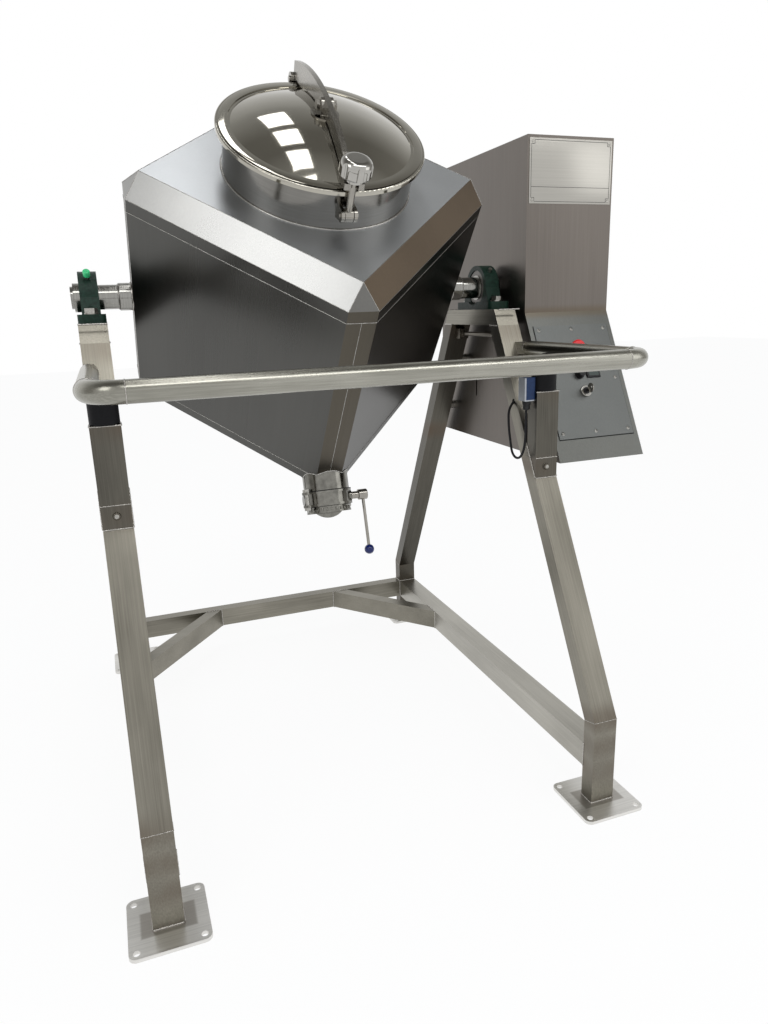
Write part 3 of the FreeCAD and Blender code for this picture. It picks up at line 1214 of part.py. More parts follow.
def stop_head():
    low = STOP_COLLAR_HEIGHT + STOP_TRAVEL + MOVING_GAP
    head = rod(V(0, 0, low), AXIS_Z, STOP_HEAD_RADIUS, STOP_HEAD_HEIGHT)
    top = [e for e in head.Edges if e.Closed and e.BoundBox.ZMin > low + CONTROL_EDGE]
    head = head.makeFillet(STOP_HEAD_HEIGHT / 2, top)
    neck_low = STOP_TRAVEL + MOVING_GAP - STOP_BLOCK / 2
    neck = rod(V(0, 0, neck_low), AXIS_Z, STOP_NECK_RADIUS, low - neck_low)
    return on_panel(fused([head, neck]), STOP_X, STOP_Z)


def key_bezel():
    bezel = rod(V(0, 0, 0), AXIS_Z, KEY_BEZEL_RADIUS, KEY_BEZEL_HEIGHT)
    bezel = bezel.makeFillet(CONTROL_EDGE, [e for e in bezel.Edges if e.BoundBox.ZMin > CONTROL_EDGE])
    half = STOP_BLOCK / 2
    barrel = rod(V(0, 0, -half), AXIS_Z, STOP_HOLE_RADIUS, half)
    box = block(-half, half, -half, half, -half - STOP_BLOCK_DEEP, -half)
    bore = rod(V(0, 0, -half), AXIS_Z, KEY_CORE_RADIUS + RUN_FIT, half + KEY_BEZEL_HEIGHT)
    return on_panel(fused([bezel, barrel, box]).cut(bore), KEY_X, KEY_Z)


def key_barrel():
    low = MOVING_GAP - STOP_BLOCK / 2
    high = KEY_BEZEL_HEIGHT + KEY_CORE_RISE
    core = rod(V(0, 0, low), AXIS_Z, KEY_CORE_RADIUS, high - low)
    slot = block(-KEY_BLADE_THICK / 2, KEY_BLADE_THICK / 2, -KEY_BLADE_WIDTH / 2, KEY_BLADE_WIDTH / 2,
                 high - KEY_BLADE_THICK, high)
    return on_panel(core.cut(slot), KEY_X, KEY_Z)


def key():
    seat = KEY_BEZEL_HEIGHT + KEY_CORE_RISE - KEY_BLADE_THICK
    blade = block(-KEY_BLADE_THICK / 2, KEY_BLADE_THICK / 2, -KEY_BLADE_WIDTH / 2, KEY_BLADE_WIDTH / 2,
                  seat, seat + KEY_BLADE_LENGTH)
    centre = seat + KEY_BLADE_LENGTH + KEY_BOW_RADIUS - KEY_BLADE_THICK
    bow = rod(V(-KEY_BLADE_THICK / 2, 0, centre), AXIS_X, KEY_BOW_RADIUS, KEY_BLADE_THICK)
    hole_start = V(-KEY_BLADE_THICK, 0, centre + KEY_BOW_RADIUS / 2)
    hole = rod(hole_start, AXIS_X, KEY_HOLE_RADIUS, 2 * KEY_BLADE_THICK)
    return on_panel(fused([blade, bow]).cut(hole), KEY_X, KEY_Z)


def speed_dial():
    skirt = rod(V(0, 0, MOVING_GAP), AXIS_Z, DIAL_SKIRT_RADIUS, DIAL_SKIRT_HEIGHT)
    body = rod(V(0, 0, MOVING_GAP), AXIS_Z, DIAL_RADIUS, DIAL_HEIGHT)
    body = body.makeFillet(CONTROL_EDGE, [e for e in body.Edges if e.BoundBox.ZMin > DIAL_HEIGHT / 2])
    pointer = block(-CONTROL_EDGE / 2, CONTROL_EDGE / 2, DIAL_RADIUS / 2, DIAL_SKIRT_RADIUS - CONTROL_EDGE,
                    DIAL_SKIRT_HEIGHT, DIAL_HEIGHT + MOVING_GAP + CONTROL_EDGE / 2)
    shaft = rod(V(0, 0, -STOP_BLOCK / 2), AXIS_Z, DIAL_SHAFT_RADIUS, STOP_BLOCK / 2 + DIAL_HEIGHT / 2)
    return on_panel(fused([skirt, body, pointer, shaft]), DIAL_X, DIAL_Z)


def display():
    half_wide = DISPLAY_WIDE / 2
    half_tall = DISPLAY_TALL / 2
    bezel = block(-half_wide, half_wide, -half_tall, half_tall, 0, DISPLAY_RISE)
    bezel = bezel.makeFillet(CONTROL_EDGE, [e for e in bezel.Edges if e.BoundBox.ZMin > CONTROL_EDGE])
    edge = CONTROL_EDGE
    body = block(-half_wide + edge, half_wide - edge, -half_tall + edge, half_tall - edge, -DISPLAY_DEEP, 0)
    return on_panel(fused([bezel, body]), DISPLAY_X, DIAL_Z)


# Worm reducer on the axle end, flanged to the housing's left wall, and its foot-less motor.
def gear_reducer():
    wall = COVER_LEFT_X + COVER_SHEET
    left = REDUCER_X - REDUCER_HALF
    body = rod(V(left, 0, 0), AXIS_X, REDUCER_RADIUS, 2 * REDUCER_HALF)
    worm_half = REDUCER_HALF - TUBE_WALL
    worm = block(REDUCER_X - worm_half, REDUCER_X + worm_half, -WORM_HALF_LONG, WORM_HALF_LONG,
                 -WORM_DROP - WORM_HALF_HIGH, -WORM_DROP + WORM_HALF_HIGH)
    long_edges = [e for e in worm.Edges if e.BoundBox.YLength > WORM_HALF_LONG]
    worm = worm.makeFillet(WORM_EDGE, long_edges)
    flange = rod(V(wall, 0, 0), AXIS_X, REDUCER_HUB_RADIUS, left - wall)
    right = REDUCER_X + REDUCER_HALF + TUBE_WALL
    hub = rod(V(left, 0, 0), AXIS_X, REDUCER_BOSS_RADIUS, right - left)
    shape = fused([body, worm, flange, hub])
    bore = rod(V(wall, 0, 0), AXIS_X, AXLE_RADIUS + RUN_FIT, right - wall)
    return moved(shape.cut(bore), z=AXLE_HEIGHT)


def drive_motor():
    axis_z = AXLE_HEIGHT - WORM_DROP
    start = WORM_HALF_LONG
    flange = rod(V(REDUCER_X, start, axis_z), AXIS_Y, MOTOR_FLANGE_RADIUS, MOTOR_FLANGE_THICK)
    body_start = start + MOTOR_FLANGE_THICK
    body_length = MOTOR_LENGTH - MOTOR_COWL_LENGTH
    body = rod(V(REDUCER_X, body_start, axis_z), AXIS_Y, MOTOR_RADIUS, body_length)
    cowl = rod(V(REDUCER_X, body_start + body_length, axis_z), AXIS_Y, MOTOR_COWL_RADIUS, MOTOR_COWL_LENGTH)
    cowl_end = body_start + body_length + MOTOR_FIN_HEIGHT
    cowl = cowl.makeFillet(MOTOR_FIN_HEIGHT, [e for e in cowl.Edges if e.BoundBox.YMin > cowl_end])
    fins = []
    half = MOTOR_FIN_THICK / 2
    for i in range(MOTOR_FIN_COUNT):
        fin = block(-half, half, body_start, body_start + body_length, 0, MOTOR_RADIUS + MOTOR_FIN_HEIGHT)
        fin.rotate(V(0, 0, 0), AXIS_Y, 360.0 * i / MOTOR_FIN_COUNT)
        fins.append(moved(fin, REDUCER_X, 0, axis_z))
    return fused([flange, body, cowl] + fins)


def terminal_box():
    foot = REDUCER_X + MOTOR_RADIUS + MOTOR_FIN_HEIGHT
    axis_z = AXLE_HEIGHT - WORM_DROP
    start = WORM_HALF_LONG + 2 * MOTOR_FLANGE_THICK
    box = block(foot, foot + TERMINAL_WIDE, start, start + TERMINAL_LONG, axis_z - TERMINAL_TALL / 2,
                axis_z + TERMINAL_TALL / 2)
    outer_edges = [e for e in box.Edges if e.BoundBox.XMin > foot + TERMINAL_EDGE]
    return box.makeFillet(TERMINAL_EDGE, outer_edges)


# The frame's parts as nodes
leg = front_leg()
cable_hole = rod(V(LEG_INNER_X, CABLE_LEG_Y, CABLE_LEG_Z), AXIS_X, CABLE_RADIUS + CABLE_HOLE_SLACK, TUBE_WALL)
nodes["left_front_leg"] = mirrored(leg, AXIS_X)
nodes["right_front_leg"] = leg.cut(cable_hole)
side_pair("rear_leg", mirrored(leg, AXIS_Y))
for side, bearing_x in (("left", -FRAME_HALF_WIDTH), ("right", RIGHT_BEARING_X)):
    beam = top_beam() if side == "right" else mirrored(top_beam(), AXIS_X)
    for hole in bearing_bolt_holes(bearing_x, BEARING_BOLT_RADIUS + BEARING_BOLT_SLACK):
        beam = beam.cut(hole)
    nodes[side + "_top_beam"] = beam
    nodes[side + "_bearing_housing"] = bearing_housing(bearing_x)
side_pair("base_beam", base_beam())
nodes["rear_base_beam"] = rear_beam()
nodes["corner_braces"] = Part.makeCompound([corner_brace(), mirrored(corner_brace(), AXIS_X)])
for side, x in (("left", -FRAME_HALF_WIDTH), ("right", FRAME_HALF_WIDTH)):
    for end, y in (("front", -FOOT_Y), ("rear", FOOT_Y)):
        nodes[side + "_" + end + "_foot"] = moved(foot_plate(), x, y)
nodes["tie_rods"] = Part.makeCompound([tie_rod_set(), mirrored(tie_rod_set(), AXIS_X)])
bearing_places = (-FRAME_HALF_WIDTH, RIGHT_BEARING_X)
nodes["bearing_inserts"] = Part.makeCompound([bearing_insert(x) for x in bearing_places])
fixings = [grease_nipple(x) for x in bearing_places]
fixings += [bolt for x in bearing_places for bolt in bearing_bolts(x)]
nodes["bearing_fixings"] = Part.makeCompound(fixings)
nodes["grease_cap"] = grease_cap(-FRAME_HALF_WIDTH)
side_pair("rail_post", rail_post())
nodes["rail_pads"] = Part.makeCompound([rail_pad(), mirrored(rail_pad(), AXIS_X)])
nodes["rail_hinges"] = Part.makeCompound([rail_hinge(), mirrored(rail_hinge(), AXIS_X)])
nodes["safety_switch"] = Part.makeCompound([safety_switch(), cable_gland()])
nodes["switch_cable"] = switch_cable()
nodes["drive_cover"] = drive_cover()
nodes["cover_fixings"] = Part.makeCompound(cover_spacers() + cover_bolts())
nodes["front_panel"] = front_panel()
nodes["panel_screws"] = panel_screws()
nodes["stop_body"] = stop_body()
nodes["key_bezel"] = key_bezel()
nodes["display"] = display()
nodes["gear_reducer"] = gear_reducer()
nodes["drive_motor"] = Part.makeCompound([drive_motor(), terminal_box()])

# The moving parts as nodes
nodes["rail_bar"] = rail_bar()
side_pair("rail_arm", rail_arm())
nodes["stop_head"] = stop_head()
nodes["key_barrel"] = key_barrel()
nodes["key"] = key()
nodes["speed_dial"] = speed_dial()
nodes["vessel_shell"] = on_vessel(vessel_shell())
nodes["manway_neck"] = on_vessel(manway_neck())
nodes["manway_gasket"] = on_vessel(manway_gasket())
nodes["left_axle"] = on_vessel(left_axle())
nodes["right_axle"] = on_vessel(right_axle())
nodes["lid_hinge_bracket"] = on_vessel(lid_hinge_bracket())
nodes["bolt_bracket"] = on_vessel(bolt_bracket())
nodes["outlet_tube"] = on_outlet(outlet_tube())
nodes["valve_body"] = on_outlet(valve_body())
nodes["valve_bolts"] = on_outlet(Part.makeCompound(valve_bolts()))
nodes["lid_dome"] = on_vessel(lid_dome())
nodes["lid_arm"] = on_vessel(lid_arm())
nodes["lid_stud"] = on_vessel(lid_stud())
nodes["swing_bolt"] = on_vessel(swing_bolt())
nodes["clamp_knob"] = on_vessel(clamp_knob())
nodes["valve_disc"] = on_outlet(valve_disc())
nodes["valve_lever"] = on_outlet(valve_lever())
nodes["lever_ball"] = on_outlet(lever_ball())

os.makedirs("parts", exist_ok=True)
for name, shape in nodes.items():
    placed = moved(shape, -ORIGIN_X, -ORIGIN_Y)
    placed.exportStep("parts/" + name + ".step")
    print(name, len(placed.Solids), round(placed.Volume), placed.isValid())
whole = Part.makeCompound([moved(s, -ORIGIN_X, -ORIGIN_Y) for s in nodes.values()]).BoundBox
print("box", whole.XMin, whole.XMax, whole.YMin, whole.YMax, whole.ZMin, whole.ZMax)
print("origin", ORIGIN_X, ORIGIN_Y)
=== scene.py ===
import bpy
import bmesh
import math
from mathutils import Matrix, Vector


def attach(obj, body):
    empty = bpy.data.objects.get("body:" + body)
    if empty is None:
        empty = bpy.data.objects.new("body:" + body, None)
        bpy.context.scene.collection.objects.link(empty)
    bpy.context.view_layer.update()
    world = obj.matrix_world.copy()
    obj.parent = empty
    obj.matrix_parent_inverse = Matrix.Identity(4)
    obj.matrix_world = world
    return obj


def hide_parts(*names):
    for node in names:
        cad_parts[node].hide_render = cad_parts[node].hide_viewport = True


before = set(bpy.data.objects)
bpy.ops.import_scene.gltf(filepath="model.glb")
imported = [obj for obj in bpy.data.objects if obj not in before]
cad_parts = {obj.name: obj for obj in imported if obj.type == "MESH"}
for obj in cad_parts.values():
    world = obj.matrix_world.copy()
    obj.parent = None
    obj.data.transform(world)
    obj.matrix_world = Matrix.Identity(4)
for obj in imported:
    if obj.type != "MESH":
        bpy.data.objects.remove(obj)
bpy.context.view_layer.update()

# Camera, floor and light: a view from chest height at the front left, a pale floor, and a white
# surround that is dimmer overhead and, in mirrors, at the sides. A row of four skylights, a long
# ceiling strip and two soft fills light it.
scene = bpy.context.scene
scene.view_settings.view_transform = "Standard"
camera_place = Vector((-0.5951, -1.9001, 1.1598))
camera_yaw = math.radians(19.77)
camera_pitch = math.radians(15.41)
camera_roll = math.radians(-1.88)
camera = bpy.data.objects.new("camera", bpy.data.cameras.new("camera"))
camera.data.sensor_width = 36.0
camera.data.lens = 26.25
camera.data.clip_end = 60.0
camera.matrix_world = (
    Matrix.Translation(camera_place)
    @ Matrix.Rotation(-camera_yaw, 4, "Z")
    @ Matrix.Rotation(math.radians(90) - camera_pitch, 4, "X")
    @ Matrix.Rotation(camera_roll, 4, "Z")
)
scene.collection.objects.link(camera)
scene.camera = camera


def work(tree, operation, *values):
    node = tree.nodes.new("ShaderNodeMath")
    node.operation = operation
    for socket, value in zip(node.inputs, values):
        if isinstance(value, (int, float)):
            socket.default_value = value
        else:
            tree.links.new(value, socket)
    return node.outputs[0]


def ramp(tree, value, low, dark, high, light):
    node = tree.nodes.new("ShaderNodeValToRGB")
    node.color_ramp.elements[0].position = low
    node.color_ramp.elements[0].color = (*dark, 1)
    node.color_ramp.elements[1].position = high
    node.color_ramp.elements[1].color = (*light, 1)
    tree.links.new(value, node.inputs[0])
    return node.outputs[0]


def mix_colour(tree, mask, first, second, blend="MIX"):
    node = tree.nodes.new("ShaderNodeMix")
    node.data_type = "RGBA"
    node.blend_type = blend
    tree.links.new(mask, node.inputs["Factor"])
    for socket, value in (("A", first), ("B", second)):
        target = [s for s in node.inputs if s.name == socket and s.type == "RGBA"][0]
        if isinstance(value, tuple):
            target.default_value = (*value, 1)
        else:
            tree.links.new(value, target)
    return [s for s in node.outputs if s.type == "RGBA"][0]


def seen_ray(tree):
    # One where a camera, mirror or glass ray looks, and zero where the light is being gathered.
    path = tree.nodes.new("ShaderNodeLightPath")
    value = path.outputs["Is Camera Ray"]
    for ray in ("Is Glossy Ray", "Is Transmission Ray"):
        value = work(tree, "MAXIMUM", value, path.outputs[ray])
    return value


world = bpy.data.worlds.new("surround")
scene.world = world
world.use_nodes = True
tree = world.node_tree
tree.nodes.clear()
room_place = tree.nodes.new("ShaderNodeTexCoord")
room_axes = tree.nodes.new("ShaderNodeSeparateXYZ")
tree.links.new(room_place.outputs["Generated"], room_axes.inputs[0])
backdrop_tone = ramp(tree, room_axes.outputs["Z"], 0.42, (1.0, 1.0, 1.0), 0.88, (0.46, 0.46, 0.45))
across_room = work(tree, "ABSOLUTE", room_axes.outputs["Y"])
side_walls = ramp(tree, across_room, 0.12, (0.42, 0.41, 0.39), 0.55, (1.0, 1.0, 1.0))
mirror_ray = tree.nodes.new("ShaderNodeLightPath").outputs["Is Glossy Ray"]
backdrop = tree.nodes.new("ShaderNodeBackground")
backdrop.inputs["Strength"].default_value = 1.0
mirrored_room = mix_colour(tree, mirror_ray, backdrop_tone, side_walls, blend="MULTIPLY")
tree.links.new(mirrored_room, backdrop.inputs["Color"])
room = tree.nodes.new("ShaderNodeBackground")
room.inputs["Color"].default_value = (0.94, 0.97, 1.0, 1)
room.inputs["Strength"].default_value = 0.72
surround = tree.nodes.new("ShaderNodeMixShader")
tree.links.new(seen_ray(tree), surround.inputs[0])
tree.links.new(room.outputs[0], surround.inputs[1])
tree.links.new(backdrop.outputs[0], surround.inputs[2])
world_out = tree.nodes.new("ShaderNodeOutputWorld")
tree.links.new(surround.outputs[0], world_out.inputs["Surface"])

floor_material = bpy.data.materials.new("floor")
floor_material.use_nodes = True
tree = floor_material.node_tree
tree.nodes.clear()
matt = tree.nodes.new("ShaderNodeBsdfDiffuse")
matt.inputs["Color"].default_value = (0.92, 0.92, 0.92, 1)
glow = tree.nodes.new("ShaderNodeEmission")
glow.inputs["Color"].default_value = (1, 1, 1, 1)
glow.inputs["Strength"].default_value = 1.0
glow_share = 0.92
floor_mix = tree.nodes.new("ShaderNodeMixShader")
tree.links.new(work(tree, "MULTIPLY", seen_ray(tree), glow_share), floor_mix.inputs[0])
tree.links.new(matt.outputs[0], floor_mix.inputs[1])
tree.links.new(glow.outputs[0], floor_mix.inputs[2])
floor_out = tree.nodes.new("ShaderNodeOutputMaterial")
tree.links.new(floor_mix.outputs[0], floor_out.inputs["Surface"])

floor_half = 16.0
shape = bmesh.new()
bmesh.ops.create_grid(shape, x_segments=1, y_segments=1, size=floor_half)
floor_mesh = bpy.data.meshes.new("floor")
shape.to_mesh(floor_mesh)
shape.free()
floor = bpy.data.objects.new("floor", floor_mesh)
floor_mesh.materials.append(floor_material)
scene.collection.objects.link(floor)

for lamp_name, place, width, height, power, target in (
    ("front_softbox", (-2.9, -2.4, 3.3), 1.3, 1.8, 20.0, (0.0, 0.0, 1.2)),
    ("strip_light", (0.95, -2.90, 4.2), 4.0, 0.9, 52.0, (0.95, -2.3, 0.0)),
    ("right_fill", (3.4, -2.4, 2.2), 2.0, 2.0, 12.0, (0.0, 0.0, 0.9)),
    ("rear_skylight", (-0.19, 0.68, 4.2), 0.47, 0.66, 4.2, (-0.19, 0.68, 0.0)),
    ("middle_skylight", (-0.19, -0.14, 4.2), 0.47, 0.56, 3.6, (-0.19, -0.14, 0.0)),
    ("front_skylight", (-0.17, -0.98, 4.2), 0.47, 0.66, 4.2, (-0.17, -0.98, 0.0)),
    ("near_skylight", (-0.14, -1.86, 4.2), 0.47, 0.66, 4.2, (-0.14, -1.86, 0.0)),
):
    lamp_data = bpy.data.lights.new(lamp_name, "AREA")
    lamp_data.shape = "RECTANGLE"
    lamp_data.size = width
    lamp_data.size_y = height
    lamp_data.energy = power
    lamp = bpy.data.objects.new(lamp_name, lamp_data)
    aim = Vector(target) - Vector(place)
    lamp_turn = aim.to_track_quat("-Z", "Y").to_matrix().to_4x4()
    lamp.matrix_world = Matrix.Translation(place) @ lamp_turn
    scene.collection.objects.link(lamp)


# Interlock switch cable: a black rubber-sheathed cable of 6 mm that drops from the switch's gland,
# hangs in one narrow loop and enters the right front leg through a hole in its inner face.
footprint_middle = Vector((110.25, -7.75, 0.0))


def spot(x, y, z):
    # A place in millimetres from the axle's middle and the floor, as metres in the shared frame.
    return (Vector((x, y, z)) - footprint_middle) / 1000


cable_points = (
    (454.5, -333.02, 908.0),
    (454.5, -333.02, 862.0),
    (453.5, -331.02, 818.0),
    (451.5, -318.02, 790.0),
    (449.5, -298.02, 782.0),
    (448.5, -278.02, 793.0),
    (449.0, -268.45, 820.0),
    (450.0, -256.45, 858.0),
    (454.0, -247.45, 904.0),
    (472.0, -244.45, 918.0),
)
cable_diameter = 0.006
cable_curve = bpy.data.curves.new("cable", "CURVE")
cable_curve.dimensions = "3D"
cable_curve.bevel_depth = cable_diameter / 2
cable_curve.bevel_resolution = 4
cable_curve.resolution_u = 16
cable_curve.use_fill_caps = True
spline = cable_curve.splines.new("NURBS")
spline.points.add(len(cable_points) - 1)
for point, place in zip(spline.points, cable_points):
    point.co = (*spot(*place), 1.0)
spline.order_u = 3
spline.use_endpoint_u = True
cable = bpy.data.objects.new("switch_cable_run", cable_curve)
scene.collection.objects.link(cable)


def bare_material(name, metallic):
    material = bpy.data.materials.new(name)
    material.use_nodes = True
    skin = material.node_tree.nodes["Principled BSDF"]
    skin.inputs["Metallic"].default_value = metallic
    return material, material.node_tree, skin


def spread(tree, value, low, high, least=0.0, most=1.0):
    # Runs from least to most while the value runs from low to high.
    node = tree.nodes.new("ShaderNodeMapRange")
    node.inputs["From Min"].default_value = low
    node.inputs["From Max"].default_value = high
    node.inputs["To Min"].default_value = least
    node.inputs["To Max"].default_value = most
    tree.links.new(value, node.inputs["Value"])
    return node.outputs[0]


def set_relief(tree, skin, height, strength, distance=0.001):
    relief = tree.nodes.new("ShaderNodeBump")
    relief.inputs["Strength"].default_value = strength
    relief.inputs["Distance"].default_value = distance
    tree.links.new(height, relief.inputs["Height"])
    tree.links.new(relief.outputs[0], skin.inputs["Normal"])


def plain_finish(name, colour, roughness, metallic=0.0, grain_scale=60.0, swing=0.10, bump=0.05,
                 distance=0.001, coat=0.0, specular=0.5):
    # A fine cloudy grain in colour, gloss and relief over one base tone.
    material, tree, skin = bare_material(name, metallic)
    skin.inputs["Coat Weight"].default_value = coat
    skin.inputs["Specular IOR Level"].default_value = specular
    place = tree.nodes.new("ShaderNodeTexCoord")
    grain = tree.nodes.new("ShaderNodeTexNoise")
    grain.inputs["Scale"].default_value = grain_scale
    grain.inputs["Detail"].default_value = 4.0
    tree.links.new(place.outputs["Object"], grain.inputs["Vector"])
    low = tuple(c * (1 - swing * 2) for c in colour)
    high = tuple(min(1.0, c * (1 + swing)) for c in colour)
    tree.links.new(ramp(tree, grain.outputs["Fac"], 0.3, low, 0.7, high), skin.inputs["Base Color"])
    gloss = spread(tree, grain.outputs["Fac"], 0.0, 1.0, roughness - swing / 2,
                   roughness + swing / 2)
    tree.links.new(gloss, skin.inputs["Roughness"])
    set_relief(tree, skin, grain.outputs["Fac"], bump, distance)
    return material


cable_black = plain_finish("cable_black", (0.008, 0.008, 0.009), 0.42, grain_scale=300.0, bump=0.15,
                           specular=0.2)
cable_curve.materials.append(cable_black)
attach(cable, "frame")
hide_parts("switch_cable")


# Side frames: 60 x 40 mm stainless tube of 3 mm wall, each leg cut and welded once at its bend,
# ground along its length. Grinding leaves long streaks, and straw-brown heat tint stays beside the
# welds.
def add_socket(group, name, direction, kind, value=None):
    socket = group.interface.new_socket(name=name, in_out=direction, socket_type=kind)
    if value is not None:
        socket.default_value = value


brush_marks = bpy.data.node_groups.new("brush_marks", "ShaderNodeTree")
add_socket(brush_marks, "Vector", "INPUT", "NodeSocketVector")
add_socket(brush_marks, "Squeeze", "INPUT", "NodeSocketVector", (1.0, 1.0, 0.012))
add_socket(brush_marks, "Streaks", "INPUT", "NodeSocketFloat", 400.0)
add_socket(brush_marks, "Patches", "INPUT", "NodeSocketFloat", 6.0)
add_socket(brush_marks, "Tone", "OUTPUT", "NodeSocketFloat")
add_socket(brush_marks, "Cloud", "OUTPUT", "NodeSocketFloat")
nodes = brush_marks.nodes
links = brush_marks.links
inside = nodes.new("NodeGroupInput")
outside = nodes.new("NodeGroupOutput")
squeeze = nodes.new("ShaderNodeVectorMath")
squeeze.operation = "MULTIPLY"
links.new(inside.outputs["Vector"], squeeze.inputs[0])
links.new(inside.outputs["Squeeze"], squeeze.inputs[1])
streak = nodes.new("ShaderNodeTexNoise")
streak.inputs["Detail"].default_value = 3.0
streak.inputs["Roughness"].default_value = 0.6
links.new(squeeze.outputs[0], streak.inputs["Vector"])
links.new(inside.outputs["Streaks"], streak.inputs["Scale"])
stretch = nodes.new("ShaderNodeVectorMath")
stretch.operation = "MULTIPLY"
stretch.inputs[1].default_value = (1.0, 1.0, 0.35)
links.new(inside.outputs["Vector"], stretch.inputs[0])
cloud = nodes.new("ShaderNodeTexNoise")
cloud.inputs["Detail"].default_value = 4.0
cloud.inputs["Roughness"].default_value = 0.55
links.new(stretch.outputs[0], cloud.inputs["Vector"])
links.new(inside.outputs["Patches"], cloud.inputs["Scale"])
links.new(streak.outputs["Fac"], outside.inputs["Tone"])
links.new(cloud.outputs["Fac"], outside.inputs["Cloud"])


def mix_number(tree, share_of_second, first, second):
    node = tree.nodes.new("ShaderNodeMix")
    node.data_type = "FLOAT"
    node.inputs["Factor"].default_value = share_of_second
    tree.links.new(first, node.inputs["A"])
    tree.links.new(second, node.inputs["B"])
    return node.outputs["Result"]


def fade(tree, value, start, end):
    # One at and below start, zero at and beyond end.
    faded = spread(tree, value, start, end, 1.0, 0.0)
    faded.node.interpolation_type = "SMOOTHSTEP"
    return faded


def object_axes(tree):
    place = tree.nodes.new("ShaderNodeTexCoord")
    axes = tree.nodes.new("ShaderNodeSeparateXYZ")
    tree.links.new(place.outputs["Object"], axes.inputs[0])
    return axes.outputs


def satin_steel(name, colour, dark, roughness, grain=(0.0, 0.0, 0.0), squeeze=(1.0, 1.0, 0.012),
                streaks=400.0, patches=6.0, streak_share=0.35, bump=0.03, swing=0.12, welds=()):
    # The grain runs along Z of the turned coordinates; welds are heights with heat tint round them.
    material, tree, skin = bare_material(name, 1.0)
    place = tree.nodes.new("ShaderNodeTexCoord")
    turn = tree.nodes.new("ShaderNodeMapping")
    turn.inputs["Rotation"].default_value = grain
    tree.links.new(place.outputs["Object"], turn.inputs["Vector"])
    marks = tree.nodes.new("ShaderNodeGroup")
    marks.node_tree = brush_marks
    marks.inputs["Squeeze"].default_value = squeeze
    marks.inputs["Streaks"].default_value = streaks
    marks.inputs["Patches"].default_value = patches
    tree.links.new(turn.outputs[0], marks.inputs["Vector"])
    tone = mix_number(tree, streak_share, marks.outputs["Cloud"], marks.outputs["Tone"])
    base = ramp(tree, tone, 0.34, dark, 0.62, colour)
    if welds:
        axes = object_axes(tree)
        near = None
        for height in welds:
            away = work(tree, "ABSOLUTE", work(tree, "SUBTRACT", axes["Z"], height))
            band = fade(tree, away, 0.004, 0.045)
            near = band if near is None else work(tree, "MAXIMUM", near, band)
        patchy = ramp(tree, marks.outputs["Cloud"], 0.35, (0.0, 0.0, 0.0), 0.60, (0.75, 0.75, 0.75))
        straw_brown = (0.10, 0.075, 0.055)
        base = mix_colour(tree, work(tree, "MULTIPLY", near, patchy), base, straw_brown)
    tree.links.new(base, skin.inputs["Base Color"])
    gloss = spread(tree, tone, 0.3, 0.7, roughness - swing / 2, roughness + swing / 2)
    tree.links.new(gloss, skin.inputs["Roughness"])
    set_relief(tree, skin, marks.outputs["Tone"], bump)
    return material


def dress(node, material):
    # That part of the machine gets this finish.
    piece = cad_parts[node]
    piece.data.materials.clear()
    piece.data.materials.append(material)


def finished(shape, name, material, body, smooth=30.0):
    # A modelled shape becomes a piece of the object on one of its bodies.
    bmesh.ops.recalc_face_normals(shape, faces=shape.faces)
    mesh = bpy.data.meshes.new(name)
    shape.to_mesh(mesh)
    shape.free()
    mesh.materials.append(material)
    mesh.shade_smooth()
    mesh.set_sharp_from_angle(angle=math.radians(smooth))
    piece = bpy.data.objects.new(name, mesh)
    scene.collection.objects.link(piece)
    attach(piece, body)
    return piece


def edges_of(made):
    return list({edge for corner in made["verts"] for edge in corner.link_edges})


def upright(direction):
    # A turn that lays Z along that direction.
    return Vector(direction).to_track_quat("Z", "Y").to_matrix().to_4x4()


def weld_bead(shape, corners, radius, closed=False, step=0.0016):
    # A laid bead: small rings along the path, swelling and thinning like overlapping puddles.
    path = [Vector(c) for c in corners]
    if closed:
        path.append(path[0])
    bead = bmesh.new()
    last_edges = None
    first_edges = None
    count = 0
    for start, end in zip(path, path[1:]):
        along = end - start
        turn = upright(along)
        rings = max(2, int(along.length / step))
        for i in range(rings if end is not path[-1] or closed else rings + 1):
            place = start + along * (i / rings)
            size = radius * (1.0 + 0.16 * math.sin(count * 2.1) + 0.07 * math.sin(count * 0.73))
            ring = bmesh.ops.create_circle(bead, segments=7, radius=size,
                                           matrix=Matrix.Translation(place) @ turn)
            edges = edges_of(ring)
            if last_edges:
                bmesh.ops.bridge_loops(bead, edges=last_edges + edges)
            else:
                first_edges = edges
            last_edges = edges
            count += 1
    if closed:
        bmesh.ops.bridge_loops(bead, edges=last_edges + first_edges)
    laid = bpy.data.meshes.new("bead")
    bead.to_mesh(laid)
    bead.free()
    shape.from_mesh(laid)
    bpy.data.meshes.remove(laid)


leg_colour = (0.292, 0.276, 0.234)
leg_dark = (0.158, 0.149, 0.124)
leg_slope = 0.53870
leg_lean = math.atan(leg_slope)
leg_welds = (0.219, 0.150, 0.087, 0.768, 1.090)
post_welds = (0.768, 0.948)
grain_lengthwise = (math.radians(90), 0.0, 0.0)
grain_crosswise = (0.0, math.radians(90), 0.0)
front_leg_steel = satin_steel("front_leg_steel", leg_colour, leg_dark, 0.34,
                              grain=(leg_lean, 0.0, 0.0), welds=leg_welds)
# The rear legs' steel is a darker copy of the same tube: painted shade.
rear_leg_painted_shade_steel = satin_steel("rear_leg_painted_shade_steel", (0.122, 0.114, 0.096), (0.066, 0.062, 0.052), 0.34,
                             grain=(-leg_lean, 0.0, 0.0), welds=leg_welds)
# The base beams' steel is a lighter copy of the same tube: painted light.
lengthwise_painted_light_steel = satin_steel("lengthwise_painted_light_steel", (0.46, 0.445, 0.40), (0.28, 0.27, 0.24), 0.34,
                               grain=grain_lengthwise)
beam_steel = satin_steel("beam_steel", leg_colour, leg_dark, 0.30, grain=grain_lengthwise)
